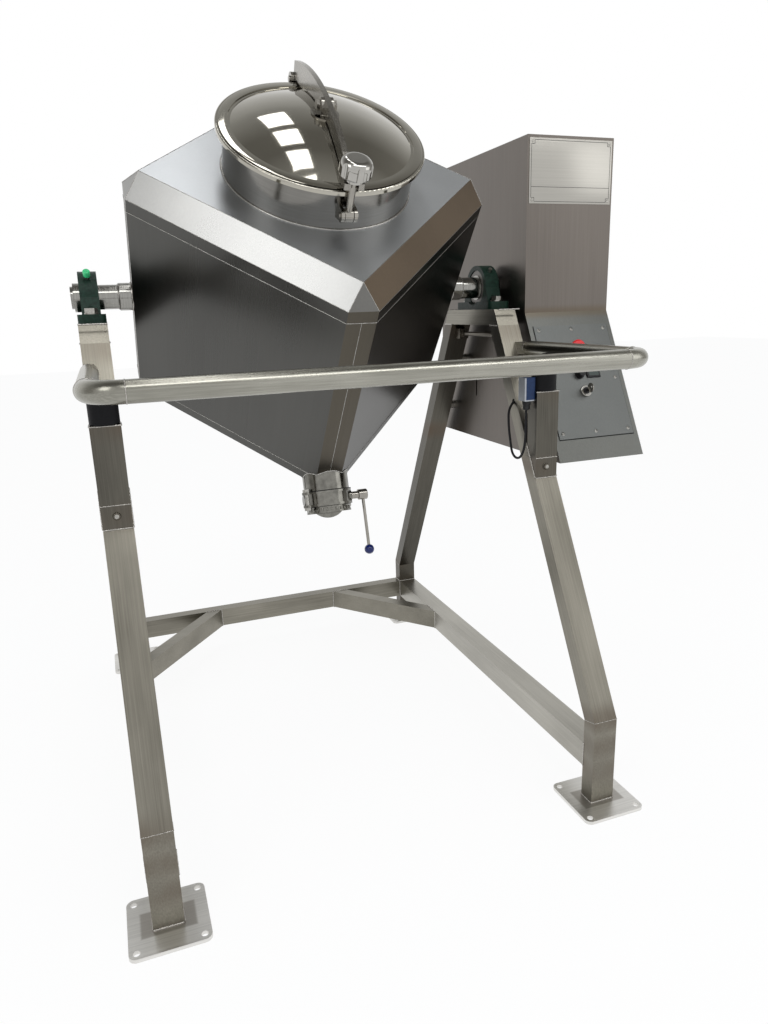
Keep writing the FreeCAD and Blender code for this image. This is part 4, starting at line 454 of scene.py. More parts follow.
crosswise_steel = satin_steel("crosswise_steel", leg_colour, leg_dark, 0.34, grain=grain_crosswise)
# The posts' steel is a darker copy of the same tube: painted shade.
post_painted_shade_steel = satin_steel("post_painted_shade_steel", (0.152, 0.143, 0.121), (0.084, 0.079, 0.067), 0.34,
                         welds=post_welds)
for side in ("left", "right"):
    dress(side + "_front_leg", front_leg_steel)
    dress(side + "_rear_leg", rear_leg_painted_shade_steel)
    dress(side + "_top_beam", beam_steel)
    dress(side + "_base_beam", lengthwise_painted_light_steel)
    dress(side + "_rail_post", post_painted_shade_steel)
dress("rear_base_beam", crosswise_steel)
dress("corner_braces", crosswise_steel)

weld_silver = plain_finish("weld_silver", (0.46, 0.44, 0.41), 0.24, metallic=1.0, grain_scale=700.0,
                           swing=0.25, bump=0.35, distance=0.0006)
frame_x = 500.0
tube_half = 30.0
foot_y = 616.0
foot_top = 8.5
leg_front, leg_back = 636.0, 596.0
bend_front, bend_back = 219.0, 208.8
base_low, base_high = 87.0, 147.0
beam_low, beam_end, beam_end_y = 1102.8, 1142.0, 161.0
leg_run = 45.4
brace_rear = (268.3, 331.7)
brace_side = (204.3, 255.7)
post_front, post_back, post_top = -355.0, -315.0, 950.5
post_foot_front, post_foot_back = 740.6, 814.9
post_seam = 790
tube_half_deep = 20


def leg_y(z):
    return -leg_front + (z - bend_front) * leg_slope


def weld_line(shape, places, radius):
    weld_bead(shape, [spot(*place) for place in places], radius)


def weld_round(shape, places, radius=0.0022):
    weld_bead(shape, [spot(*place) for place in places], radius, closed=True)


def weld_end(shape, x, y0, y1):
    # Round a base tube's end, which meets the plane of that x.
    weld_round(shape, [(x, y0, base_low), (x, y1, base_low), (x, y1, base_high),
                       (x, y0, base_high)], 0.0020)


shape = bmesh.new()
for x in (-frame_x, frame_x):
    inner, outer = x - tube_half, x + tube_half
    outward_sign = x / abs(x)
    wall, far_wall = x - outward_sign * tube_half, x + outward_sign * tube_half
    for y in (-foot_y, foot_y):
        front, back = y - tube_half_deep, y + tube_half_deep
        weld_round(shape, [(inner, front, foot_top), (outer, front, foot_top),
                           (outer, back, foot_top), (inner, back, foot_top)])
    for side in (-1, 1):
        front, back = side * leg_y(beam_low), side * (leg_y(beam_low) + leg_run)
        weld_line(shape, [(wall, -front, beam_low), (wall, -back, beam_low),
                          (far_wall, -back, beam_low), (far_wall, -front, beam_low)], 0.0016)
        cap = side * beam_end_y
        weld_line(shape, [(inner, cap, beam_end), (outer, cap, beam_end)], 0.0020)
        near, far = side * leg_back, side * leg_front
        weld_line(shape, [(inner, near, bend_back), (inner, far, bend_front),
                          (outer, far, bend_front), (outer, near, bend_back)], 0.0009)
        weld_round(shape, [(inner, near, base_low), (outer, near, base_low),
                           (outer, near, base_high), (inner, near, base_high)], 0.0020)
    weld_end(shape, wall, leg_back, leg_front)
    weld_end(shape, wall, *brace_rear)
    brace_in, brace_out = outward_sign * brace_side[0], outward_sign * brace_side[1]
    weld_round(shape, [(brace_in, leg_back, base_low), (brace_out, leg_back, base_low),
                       (brace_out, leg_back, base_high), (brace_in, leg_back, base_high)], 0.0020)
    weld_line(shape, [(inner, post_back, post_foot_back), (inner, post_front, post_foot_front),
                      (outer, post_front, post_foot_front), (outer, post_back, post_foot_back)],
              0.0018)
    weld_line(shape, [(inner, post_front, post_seam), (outer, post_front, post_seam)], 0.0013)
    weld_round(shape, [(inner, post_front, post_top), (outer, post_front, post_top),
                       (outer, post_back, post_top), (inner, post_back, post_top)], 0.0017)
finished(shape, "frame_welds", weld_silver, "frame", smooth=60.0)

# Post bolts: zinc-plated steel button heads with a hexagon socket, one low on each post's front,
# over the leg that the post stands on.
facing_front = Matrix.Rotation(math.radians(90), 4, "X")
whole_turn = math.radians(360)
bolt_height = 768.0
head_crown = 0.0056
head_outline = ((0.0, head_crown), (0.0030, 0.0055), (0.0055, 0.0046), (0.0075, 0.0028),
                (0.0086, 0.0004), (0.0086, 0.0))
shape = bmesh.new()
for x in (-frame_x, frame_x):
    turned = Matrix.Translation(spot(x, -355.05, bolt_height)) @ facing_front
    corners = [shape.verts.new(turned @ Vector((radius, 0.0, out))) for radius, out in head_outline]
    edges = [shape.edges.new(pair) for pair in zip(corners, corners[1:])]
    bmesh.ops.spin(shape, geom=corners + edges, cent=turned.translation, axis=(0, -1, 0),
                   angle=whole_turn, steps=32, use_merge=True)
    bmesh.ops.create_cone(shape, cap_ends=True, segments=6, radius1=0.0030, radius2=0.0030,
                          depth=0.0006, matrix=turned @ Matrix.Translation((0.0, 0.0, head_crown)))
bmesh.ops.remove_doubles(shape, verts=shape.verts, dist=0.00001)
zinc = plain_finish("zinc", (0.42, 0.41, 0.38), 0.30, metallic=1.0, grain_scale=260.0, swing=0.15)
finished(shape, "post_bolt_heads", zinc, "frame")


# Foot plates: 8 mm plate, laser cut with four anchor holes, brushed across, its steel toned far
# lighter than the legs' as painted light on the upward faces, with a darker rectangle round each
# leg.
def opened(material):
    # A finish's nodes, its shader and the colour that feeds it.
    tree = material.node_tree
    skin = tree.nodes["Principled BSDF"]
    return tree, skin, skin.inputs["Base Color"].links[0].from_socket


def foot_steel_and_painted_light():
    # The plate's steel is a lighter copy of the legs' steel: painted light.
    material = satin_steel("foot_painted_light_steel", (0.82, 0.81, 0.78), (0.56, 0.55, 0.525), 0.38,
                           grain=(0.0, math.radians(90), math.radians(20)), streaks=300.0)
    tree, skin, base = opened(material)
    place = tree.nodes.new("ShaderNodeTexCoord")
    centred = tree.nodes.new("ShaderNodeMapping")
    centred.inputs["Location"].default_value = (0.11025, -0.00775, 0.0)
    tree.links.new(place.outputs["Object"], centred.inputs["Vector"])
    axes = tree.nodes.new("ShaderNodeSeparateXYZ")
    tree.links.new(centred.outputs[0], axes.inputs[0])
    beyond = []
    for axis, leg_place, darker_half in (("X", 0.5, 0.050), ("Y", 0.616, 0.030)):
        from_leg = work(tree, "SUBTRACT", work(tree, "ABSOLUTE", axes.outputs[axis]), leg_place)
        beyond.append(work(tree, "SUBTRACT", work(tree, "ABSOLUTE", from_leg), darker_half))
    # A darker rectangle round each leg's foot.
    darker_round_leg = work(tree, "MULTIPLY", fade(tree, work(tree, "MAXIMUM", *beyond), 0.0, 0.006), 0.65)
    tree.links.new(mix_colour(tree, darker_round_leg, base, (0.27, 0.245, 0.215)), skin.inputs["Base Color"])
    return material


foot_painted_light_steel = foot_steel_and_painted_light()
for side in ("left", "right"):
    for end in ("front", "rear"):
        dress(f"{side}_{end}_foot", foot_painted_light_steel)

# Pillow blocks: grey-iron castings in dark green enamel, with steel bearing rings behind pressed
# shields, zinc bolts and grease nipples, and a bright green cap on the left one. Tie rods brace the
# legs below them.
cast_green = plain_finish("cast_green", (0.009, 0.030, 0.020), 0.42, grain_scale=160.0, swing=0.22,
                          bump=0.5, specular=0.22)
for side in ("left", "right"):
    dress(side + "_bearing_housing", cast_green)
round_grain = (1.0, 0.012, 0.012)
ring_steel = satin_steel("ring_steel", (0.40, 0.39, 0.37), (0.26, 0.25, 0.24), 0.26,
                         squeeze=round_grain, streaks=700.0)
dress("bearing_inserts", ring_steel)
dress("bearing_fixings", zinc)
dress("tie_rods", plain_finish("rod_steel", (0.17, 0.155, 0.13), 0.32, metallic=1.0,
                               grain_scale=200.0))
dress("grease_cap", plain_finish("cap_green", (0.03, 0.55, 0.20), 0.32, grain_scale=120.0,
                                 coat=0.3))


def ring_piece(shape, profile, centre, axis, steps=64):
    # Spins a small closed profile of (radius, along) corners round an axis through centre.
    place = Matrix.Translation(centre) @ upright(axis)
    corners = [shape.verts.new(place @ Vector((radius, 0.0, along))) for radius, along in profile]
    edges = [shape.edges.new((a, b)) for a, b in zip(corners, corners[1:] + corners[:1])]
    bmesh.ops.spin(shape, geom=corners + edges, cent=centre,
                   axis=place.to_3x3() @ Vector((0, 0, 1)), angle=whole_turn, steps=steps,
                   use_merge=True)


def bead_profile(radius, size):
    # A round bead's section at that radius.
    sides = 10
    turns = [2 * math.pi * i / sides for i in range(sides)]
    return [(radius + size * math.cos(t), size * math.sin(t)) for t in turns]


axle_height = 1200.0
shield_bore, shield_edge, shield_fold = 0.0325, 0.0440, 0.0004
shape = bmesh.new()
for bearing_x in (-500.0, 508.0):
    for face in (-1, 1):
        near, far = face * 0.0172, face * 0.0184
        rim = far - face * shield_fold
        profile = [(shield_bore, near), (shield_edge, near), (shield_edge, rim), (0.0428, far),
                   (0.0337, far), (shield_bore, rim)]
        ring_piece(shape, profile, spot(bearing_x, 0, axle_height), (1, 0, 0))
shield = satin_steel("shield_steel", (0.20, 0.19, 0.18), (0.11, 0.105, 0.10), 0.40,
                     squeeze=(1.0, 0.05, 0.05))
finished(shape, "bearing_shields", shield, "frame")

# Axle: 50 mm stainless bar in a turned sleeve of 55 mm, with a collar welded to the vessel's side
# edge. Each bearing's lock ring is held by two socket screws.
axle_steel = satin_steel("axle_steel", (0.33, 0.325, 0.305), (0.23, 0.226, 0.212), 0.14,
                         squeeze=round_grain, streaks=420.0, patches=3.0, streak_share=0.7,
                         bump=0.008, swing=0.04)
dress("left_axle", axle_steel)
dress("right_axle", axle_steel)
shape = bmesh.new()
for face in (-1, 1):
    for reach, radius, size in ((407.6, 0.0312, 0.0022), (437.6, 0.0277, 0.0012)):
        ring_piece(shape, bead_profile(radius, size), spot(face * reach, 0, axle_height), (1, 0, 0))
finished(shape, "axle_welds", weld_silver, "vessel")
lock_ring_radius = 0.0318
shape = bmesh.new()
for x in (-526.0, 534.0):
    for turn in (25.0, 145.0):
        out = Vector((0, math.sin(math.radians(turn)), math.cos(math.radians(turn))))
        place = spot(x, 0, axle_height) + out * lock_ring_radius
        bmesh.ops.create_cone(shape, cap_ends=True, segments=24, radius1=0.0042, radius2=0.0040,
                              depth=0.0016, matrix=Matrix.Translation(place) @ upright(out))
screw_black = plain_finish("screw_black", (0.025, 0.025, 0.027), 0.38, metallic=0.6)
finished(shape, "lock_screws", screw_black, "vessel")

# Vessel: 3 mm stainless plates in one fine satin, made as a welded cube with ground bevel strips,
# with painted reflections and painted shade on its plates and strips by the way they face. Its
# caps' seams show as thin bright lines on the plates. Inside, the steel is left bright.
tilt = math.radians(39.0)
vessel_up = Vector((0.0, -math.sin(tilt), math.cos(tilt)))
vessel_back = Vector((0.0, math.cos(tilt), math.sin(tilt)))
vessel_side = Vector((1.0, 0.0, 0.0))
plate_right = (vessel_side - vessel_back).normalized()
plate_left = (vessel_side + vessel_back).normalized()
vessel_middle = spot(0, 0, axle_height)


def turned_to(tree, direction):
    # The share of each face's normal that lies along that direction.
    place = tree.nodes.new("ShaderNodeTexCoord")
    dot = tree.nodes.new("ShaderNodeVectorMath")
    dot.operation = "DOT_PRODUCT"
    dot.inputs[1].default_value = direction
    tree.links.new(place.outputs["Normal"], dot.inputs[0])
    return dot.outputs["Value"]


def vessel_painted_light():
    # It is one steel. The top plate, the strips and the two sides are toned apart by the way they
    # face: painted reflections of what each one mirrors, lighter on the top plate and left strip,
    # darker on the right-hand faces and upright strips as painted shade.
    material, tree, skin = bare_material("vessel_steel", 1.0)
    place = tree.nodes.new("ShaderNodeTexCoord")
    up = turned_to(tree, vessel_up)
    right_plate = work(tree, "ABSOLUTE", turned_to(tree, plate_right))
    left_plate = work(tree, "ABSOLUTE", turned_to(tree, plate_left))
    side_plate = work(tree, "MAXIMUM", right_plate, left_plate)
    flat = (0.88, 0.92)
    plate = spread(tree, work(tree, "MAXIMUM", side_plate, work(tree, "ABSOLUTE", up)), *flat)
    top = spread(tree, up, *flat)
    right_side_painted_shade = spread(tree, turned_to(tree, vessel_side), 0.3, 0.34)
    upper = spread(tree, up, 0.5, 0.6)
    turn = tree.nodes.new("ShaderNodeMapping")
    turn.inputs["Rotation"].default_value = (-tilt, 0.0, 0.0)
    tree.links.new(place.outputs["Object"], turn.inputs["Vector"])
    marks = tree.nodes.new("ShaderNodeGroup")
    marks.node_tree = brush_marks
    marks.inputs["Squeeze"].default_value = (1.0, 1.0, 0.012)
    marks.inputs["Streaks"].default_value = 300.0
    marks.inputs["Patches"].default_value = 1.8
    tree.links.new(turn.outputs[0], marks.inputs["Vector"])
    tone = mix_number(tree, 0.14, marks.outputs["Cloud"], marks.outputs["Tone"])

    def shades(dark, light):
        return ramp(tree, tone, 0.36, dark, 0.64, light)

    left_plate_painted_reflection = shades((0.082, 0.081, 0.077), (0.108, 0.107, 0.101))
    right_plate_painted_shade = shades((0.034, 0.033, 0.030), (0.048, 0.047, 0.043))
    side_plates = mix_colour(tree, right_side_painted_shade, left_plate_painted_reflection, right_plate_painted_shade)
    top_plate_painted_reflection = shades((0.44, 0.455, 0.47), (0.56, 0.58, 0.60))
    upright_strips_painted_shade = shades((0.078, 0.070, 0.056), (0.108, 0.097, 0.079))
    # The left strip's lighter tone is a painted reflection.
    left_strip = shades((0.30, 0.30, 0.295), (0.42, 0.42, 0.41))
    right_strip_painted_reflection = shades((0.150, 0.117, 0.086), (0.215, 0.168, 0.123))
    upper_strips_painted_light = mix_colour(tree, right_side_painted_shade, left_strip, right_strip_painted_reflection)
    strips = mix_colour(tree, upper, upright_strips_painted_shade, upper_strips_painted_light)
    # Where the upper strips turn to the front or back they get a middle tone: painted reflection.
    front_or_back = work(tree, "ABSOLUTE", turned_to(tree, vessel_back))
    corner = work(tree, "MULTIPLY", upper, spread(tree, front_or_back, 0.70, 0.76))
    strips = mix_colour(tree, corner, strips, shades((0.105, 0.103, 0.096), (0.145, 0.142, 0.132)))
    plates = mix_colour(tree, top, side_plates, top_plate_painted_reflection)
    outer = mix_colour(tree, plate, strips, plates)
    from_centre = tree.nodes.new("ShaderNodeMapping")
    from_centre.inputs["Location"].default_value = -vessel_middle
    tree.links.new(place.outputs["Object"], from_centre.inputs["Vector"])
    outward = tree.nodes.new("ShaderNodeVectorMath")
    outward.operation = "DOT_PRODUCT"
    tree.links.new(from_centre.outputs[0], outward.inputs[0])
    tree.links.new(place.outputs["Normal"], outward.inputs[1])
    inside_face = work(tree, "LESS_THAN", outward.outputs["Value"], 0.0)
    inner = shades((0.50, 0.49, 0.47), (0.62, 0.61, 0.59))
    tree.links.new(mix_colour(tree, inside_face, outer, inner), skin.inputs["Base Color"])
    gloss = spread(tree, tone, 0.0, 1.0, 0.20, 0.36)
    softer = work(tree, "ADD", gloss, work(tree, "MULTIPLY", top, 0.10))
    tree.links.new(softer, skin.inputs["Roughness"])
    set_relief(tree, skin, marks.outputs["Tone"], 0.012)
    return material


dress("vessel_shell", vessel_painted_light())


def on_vessel(across, back, up):
    # A place in the vessel's own axes, in millimetres from its centre.
    return vessel_middle + (vessel_side * across + vessel_back * back + vessel_up * up) / 1000


def on_cube(a, b, up):
    # The cube stands a quarter turn between its side plates and the axle.
    return on_vessel((a - b) / math.sqrt(2), (a + b) / math.sqrt(2), up)


vessel_half = 310.0
vessel_flat = 265.0
upper_seam, lower_seam = 237.0, -240.0
seam_silver = plain_finish("seam_silver", (0.40, 0.39, 0.37), 0.25, metallic=1.0, grain_scale=400.0,
                           swing=0.15)
shape = bmesh.new()
for quarter in range(4):
    turn = Matrix.Rotation(math.radians(90 * quarter), 4, "Z")

    def seam(start, end, radius):
        ends = [on_cube(*(turn @ Vector(place))) for place in (start, end)]
        weld_bead(shape, ends, radius, step=0.009)

    for height in (upper_seam, lower_seam):
        seam((vessel_half, -vessel_flat, height), (vessel_half, vessel_flat, height), 0.0008)
        seam((vessel_half, vessel_flat, height), (vessel_flat, vessel_half, height), 0.0008)
    middle = (vessel_half + vessel_flat) / 2
    seam((middle, middle, lower_seam), (middle, middle, upper_seam), 0.0008)
    for sign in (-1, 1):
        corner = (vessel_flat, vessel_flat, sign * vessel_half)
        seam((vessel_half, vessel_flat, sign * vessel_flat), corner, 0.0007)
        seam((vessel_flat, vessel_half, sign * vessel_flat), corner, 0.0007)
    seam((vessel_half, -vessel_flat, vessel_flat), (vessel_half, vessel_flat, vessel_flat), 0.0006)
    seam((vessel_flat, -vessel_flat, vessel_half), (vessel_flat, vessel_flat, vessel_half), 0.0006)
finished(shape, "vessel_seams", seam_silver, "vessel", smooth=60.0)

# Manway: a rolled and welded neck ring, a pale silicone gasket and a pressed lid polished to a
# mirror. The arched arm is sawn from 12 mm plate, and a scalloped turned knob on a swing bolt
# clamps its fork.
mirror_steel = plain_finish("mirror_steel", (0.43, 0.412, 0.362), 0.06, metallic=1.0,
                            grain_scale=9.0, swing=0.04, bump=0.015, distance=0.002)
polished_steel = plain_finish("polished_steel", (0.33, 0.315, 0.285), 0.12, metallic=1.0,
                              grain_scale=40.0, swing=0.08)
knob_steel = plain_finish("knob_steel", (0.42, 0.41, 0.385), 0.07, metallic=1.0, grain_scale=30.0,
                          swing=0.05)
dress("lid_dome", mirror_steel)
dress("manway_neck", satin_steel("neck_steel", (0.25, 0.243, 0.228), (0.17, 0.165, 0.153), 0.16,
                                 grain=(-tilt, 0.0, 0.0), squeeze=(0.02, 0.02, 1.0), streaks=500.0,
                                 swing=0.06))
dress("manway_gasket", plain_finish("silicone", (0.50, 0.49, 0.45), 0.50, grain_scale=50.0))
dress("lid_arm", satin_steel("arm_steel", (0.34, 0.325, 0.295), (0.23, 0.22, 0.20), 0.24,
                             grain=(-tilt, 0, 0), squeeze=(1.0, 0.03, 1.0)))
for node in ("lid_stud", "lid_hinge_bracket", "bolt_bracket", "swing_bolt"):
    dress(node, polished_steel)
dress("clamp_knob", knob_steel)
neck_foot = vessel_half + 0.8
neck_top = 389.5
shape = bmesh.new()
for up, radius, size in ((neck_foot, 0.2055, 0.0028), (neck_top, 0.2050, 0.0014)):
    ring_piece(shape, bead_profile(radius, size), on_vessel(0, 0, up), vessel_up, steps=128)
finished(shape, "neck_welds", seam_silver, "vessel", smooth=60.0)
lid_rim = 404.2
rim_band = [(0.1955, -0.0008), (0.2125, -0.0008), (0.2150, 0.0004), (0.2125, 0.0012),
            (0.1965, 0.0012)]
lid_weld = ((6.0, -16.0, 446.5), (13.4, -16.0, 446.0))
shape = bmesh.new()
ring_piece(shape, rim_band, on_vessel(0, 0, lid_rim), vessel_up, steps=128)
for side in (-1, 1):
    weld_bead(shape, [on_vessel(side * across, back, up) for across, back, up in lid_weld], 0.0016)
finished(shape, "lid_rim_band", mirror_steel, "lid", smooth=40.0)

# Outlet and butterfly valve: a turned stainless body between union flanges, with black seat rings
# at its joints, a blue plastic ball on the lever and a wavy weld where the tube meets the vessel's
# low corner.
valve_steel = plain_finish("valve_steel", (0.205, 0.200, 0.180), 0.13, metallic=1.0,
                           grain_scale=60.0, swing=0.16)
for node in ("outlet_tube", "valve_body", "valve_disc"):
    dress(node, valve_steel)
dress("valve_lever", polished_steel)
dress("valve_bolts", zinc)
dress("lever_ball", plain_finish("ball_blue", (0.003, 0.013, 0.110), 0.14, grain_scale=25.0,
                                swing=0.05, coat=0.3, specular=0.3))
outlet = (-vessel_back - vessel_up * math.sqrt(0.5)).normalized()
outlet_front = vessel_side.cross(outlet)
outlet_radius = 57.0
bevel_reach = 406.586
corner_reach = 484.974
low_planes = [(-vessel_up, vessel_half), (-vessel_back, bevel_reach), (outlet, corner_reach)]
for sign in (-1, 1):
    plate = (vessel_side * sign - vessel_back).normalized()
    low_planes.append((plate, vessel_half))
    low_planes.append(((plate - vessel_up).normalized(), bevel_reach))


def round_outlet(turn):
    return vessel_side * math.cos(turn) + outlet_front * math.sin(turn)


weld_places = 72
shape = bmesh.new()
foot_line = []
for i in range(weld_places):
    out = round_outlet(2 * math.pi * i / weld_places)
    reach = min((far - normal.dot(out) * outlet_radius) / normal.dot(outlet)
                for normal, far in low_planes)
    foot_line.append(vessel_middle + (outlet * reach + out * outlet_radius) / 1000)
weld_bead(shape, foot_line, 0.0019, closed=True, step=0.0025)
finished(shape, "outlet_weld", seam_silver, "vessel", smooth=60.0)


def outlet_middle(reach):
    return vessel_middle + outlet * reach / 1000


seat_half = 0.0011
shape = bmesh.new()
for reach, radius in ((502.97, 0.0573), (540.97, 0.0536)):
    inner, outer = radius - 0.002, radius + 0.0040
    profile = [(inner, -seat_half), (outer, -seat_half), (outer, seat_half), (inner, seat_half)]
    ring_piece(shape, profile, outlet_middle(reach), outlet, steps=96)
black_rubber = plain_finish("black_rubber", (0.007, 0.007, 0.008), 0.50, grain_scale=120.0,
                            bump=0.2, specular=0.12)
finished(shape, "valve_seat_rings", black_rubber, "vessel")


def round_edges(shape, made, offset):
    bmesh.ops.bevel(shape, geom=edges_of(made), offset=offset, segments=2, profile=0.5,
                    affect="EDGES", material=-1)


union_reach, union_radius = 549.5, 0.0532
rib_places, bare_side = 28, 0.24
rib_size = Matrix.Diagonal((0.0052, 0.0030, 0.0080, 1.0))
shape = bmesh.new()
for i in range(rib_places):
    turn = 2 * math.pi * (i + 0.5) / rib_places
    if abs(math.sin(turn)) < bare_side:
        continue
    out = round_outlet(turn)
    place = outlet_middle(union_reach) + out * union_radius
    rib_turn = Matrix((out.cross(outlet), out, outlet)).transposed().to_4x4()
    rib = bmesh.ops.create_cube(shape, size=1.0,
                                matrix=Matrix.Translation(place) @ rib_turn @ rib_size)
    round_edges(shape, rib, 0.0007)
finished(shape, "union_ribs", valve_steel, "vessel")

# Guard rail: 38 mm tube with welded elbows, ground along its length, on pins at the legs and
# on black rubber pads over the posts.
def rail_finish(name, grain):
    return satin_steel(name, (0.42, 0.412, 0.365), (0.25, 0.244, 0.212), 0.27, grain=grain,
                       squeeze=(1.0, 1.0, 0.02), patches=9.0, bump=0.012)


dress("rail_bar", rail_finish("rail_steel", grain_crosswise))
arm_rail_steel = rail_finish("arm_rail_steel", grain_lengthwise)
dress("left_rail_arm", arm_rail_steel)
dress("right_rail_arm", arm_rail_steel)
dress("rail_hinges", zinc)
dress("rail_pads", black_rubber)
rail_height = 1046.0
shape = bmesh.new()
for side in (-1, 1):
    for x, y, axis in ((461, -690, (1, 0, 0)), (518, -633, (0, 1, 0))):
        ring_piece(shape, bead_profile(0.0188, 0.0011), spot(side * x, y, rail_height), axis)
finished(shape, "rail_welds", weld_silver, "rail", smooth=60.0)


# Interlock switch: a blue moulded body clipped in a silver zinc bracket on the right front leg. The
# bracket shows to its left, below and behind it, and a black cable gland hangs below.
def switch_finish():
    material = plain_finish("switch_blue", (0.007, 0.026, 0.085), 0.40, grain_scale=150.0,
                            bump=0.15, specular=0.3)
    tree, skin, blue = opened(material)
    axes = object_axes(tree)
    left_strip = fade(tree, axes["X"], 0.3335, 0.3342)
    low_strip = fade(tree, axes["Z"], 0.9325, 0.9330)
    rear_strip = fade(tree, work(tree, "MULTIPLY", axes["Y"], -1.0), 0.3145, 0.3150)
    silver = work(tree, "MAXIMUM", work(tree, "MAXIMUM", left_strip, low_strip), rear_strip)
    gland = fade(tree, axes["Z"], 0.9297, 0.9299)
    body = mix_colour(tree, silver, blue, (0.40, 0.42, 0.45))
    tree.links.new(mix_colour(tree, gland, body, (0.012, 0.012, 0.013)), skin.inputs["Base Color"])
    bare = work(tree, "MULTIPLY", silver, work(tree, "SUBTRACT", 1.0, gland))
    tree.links.new(work(tree, "MULTIPLY", bare, 0.75), skin.inputs["Metallic"])
    return material


dress("safety_switch", switch_finish())

# Drive housing: brushed 2 mm stainless sheet, folded, with a cooler grey panel on the flare, held
# by seven cross-headed zinc screws.
flare = math.radians(26.85)
panel_out = Vector((0.0, -math.cos(flare), math.sin(flare)))
panel_up = Vector((0.0, math.sin(flare), math.cos(flare)))
fold_height = 1.131
flare_front, flare_top, panel_thick = -160, 1131, 2


def facing(tree, direction, least):
    # One on faces turned to that direction by at least that cosine, zero elsewhere.
    return work(tree, "GREATER_THAN", turned_to(tree, direction), least)


def cover_steel_and_painted_reflection():
    # It is one sheet. The flare is toned cooler and darker than the walls, a painted reflection of
    # what it mirrors, and the fold above it is tinted by its weld.
    material = satin_steel("cover_steel", (0.176, 0.158, 0.142), (0.122, 0.109, 0.098), 0.34,
                           streaks=350.0, patches=1.6, streak_share=0.25)
    tree, skin, base = opened(material)
    # The flare's cooler, darker tone is a painted reflection.
    flare_painted_reflection = mix_colour(tree, facing(tree, panel_out, 0.95), base, (0.795, 0.905, 0.944),
                        blend="MULTIPLY")
    away = work(tree, "ABSOLUTE", work(tree, "SUBTRACT", object_axes(tree)["Z"], fold_height))
    front_faces = facing(tree, (0.0, -0.974, 0.226), 0.9)
    tinted = work(tree, "MULTIPLY", fade(tree, away, 0.002, 0.022), front_faces)
    heat_tint = mix_colour(tree, work(tree, "MULTIPLY", tinted, 0.6), flare_painted_reflection, (0.125, 0.098, 0.068))
    tree.links.new(heat_tint, skin.inputs["Base Color"])
    return material


dress("drive_cover", cover_steel_and_painted_reflection())
dress("front_panel", satin_steel("panel_steel", (0.143, 0.149, 0.145), (0.110, 0.115, 0.112), 0.38,
                                 streaks=350.0, patches=3.0, streak_share=0.25))
dress("panel_screws", zinc)
dress("cover_fixings", zinc)


def on_panel(x, z, out=0.0):
    # A place over the panel's outer face, at that height.
    front_y = flare_front - (flare_top - z) * math.tan(flare) - panel_thick / math.cos(flare)
    return spot(x, front_y, z) + panel_out * out / 1000


panel_turn = Matrix((vessel_side, panel_up, panel_out)).transposed().to_4x4()


def panel_bar(shape, x, z, out, wide, tall, thick):
    # A small block lying on the panel round that middle, in millimetres.
    size = Matrix.Diagonal((wide / 1000, tall / 1000, thick / 1000, 1.0))
    place = Matrix.Translation(on_panel(x, z, out))
    bmesh.ops.create_cube(shape, size=1.0, matrix=place @ panel_turn @ size)


screw_places = ((575, 1086), (673, 1086), (771, 1086), (771, 961), (575, 835), (673, 835),
                (771, 835))
screw_face = 2.95
slot_size = Matrix.Diagonal((0.0050, 0.0010, 0.0006, 1.0))
shape = bmesh.new()
for x, z in screw_places:
    for degrees in (20, 110):
        slot_turn = upright(panel_out) @ Matrix.Rotation(math.radians(degrees), 4, "Z")
        slot = Matrix.Translation(on_panel(x, z, screw_face)) @ slot_turn @ slot_size
        bmesh.ops.create_cube(shape, size=1.0, matrix=slot)
slot_shadow = plain_finish("slot_shadow", (0.03, 0.03, 0.03), 0.5, grain_scale=300.0)
finished(shape, "screw_slots", slot_shadow, "frame")

# Panel gap line: a thin black strip round the screwed panel's edge, set between the panel and the
# flare and seen as a thin
# dark line: painted shade in the gap under the panel's edge.
gap_line_wide, gap_line_thick, gap_line_out = 1.6, 1.2, -1.1
gap_line_middle_x, gap_line_middle_z = 673.0, 958.5
gap_line_across, gap_line_tall = 220.8, 310.0
gap_painted_shade = plain_finish("panel_gap_painted_shade", (0.012, 0.012, 0.013), 0.6, grain_scale=300.0, bump=0.3,
                    specular=0.15)
shape = bmesh.new()
for x in (561.8, 784.2):
    panel_bar(shape, x, gap_line_middle_z, gap_line_out, gap_line_wide, gap_line_tall, gap_line_thick)
for z in (820.9, 1096.1):
    panel_bar(shape, gap_line_middle_x, z, gap_line_out, gap_line_across, gap_line_wide, gap_line_thick)
finished(shape, "panel_gap_shade_strip", gap_painted_shade, "frame")

# Name plate: blank brushed sheet with a thin etched border that is notched at the corners, fixed to
# the housing's upper wall by four small screws.
plate_left_x, plate_right_x, plate_low, plate_high = 553.0, 793.0, 1395.0, 1546.0
plate_y = -160.0
shape = bmesh.new()


def bar(shape, x0, x1, y0, y1, z0, z1, edge=0.0):
    low, high = spot(x0, y0, z0), spot(x1, y1, z1)
    size = high - low
    cube = bmesh.ops.create_cube(shape, size=1.0, matrix=Matrix.Translation((low + high) / 2)
                                 @ Matrix.Diagonal((size.x, size.y, size.z, 1.0)))
    if edge:
        round_edges(shape, cube, edge / 1000)


bar(shape, plate_left_x, plate_right_x, plate_y - 1.2, plate_y - 0.05, plate_low, plate_high, 0.3)
plate_steel = satin_steel("plate_steel", (0.45, 0.435, 0.40), (0.36, 0.35, 0.32), 0.30,
                          grain=grain_crosswise, streaks=350.0, patches=3.0, streak_share=0.3)
finished(shape, "name_plate", plate_steel, "frame")
shape = bmesh.new()
front, thick, line, inset, notch, title_rise = plate_y - 1.32, 0.2, 1.1, 5.0, 9.0, 34


def border_across(x0, x1, z):
    bar(shape, x0, x1, front, front + thick, z - line / 2, z + line / 2)


def border_up(x, z0, z1):
    bar(shape, x - line / 2, x + line / 2, front, front + thick, z0, z1)


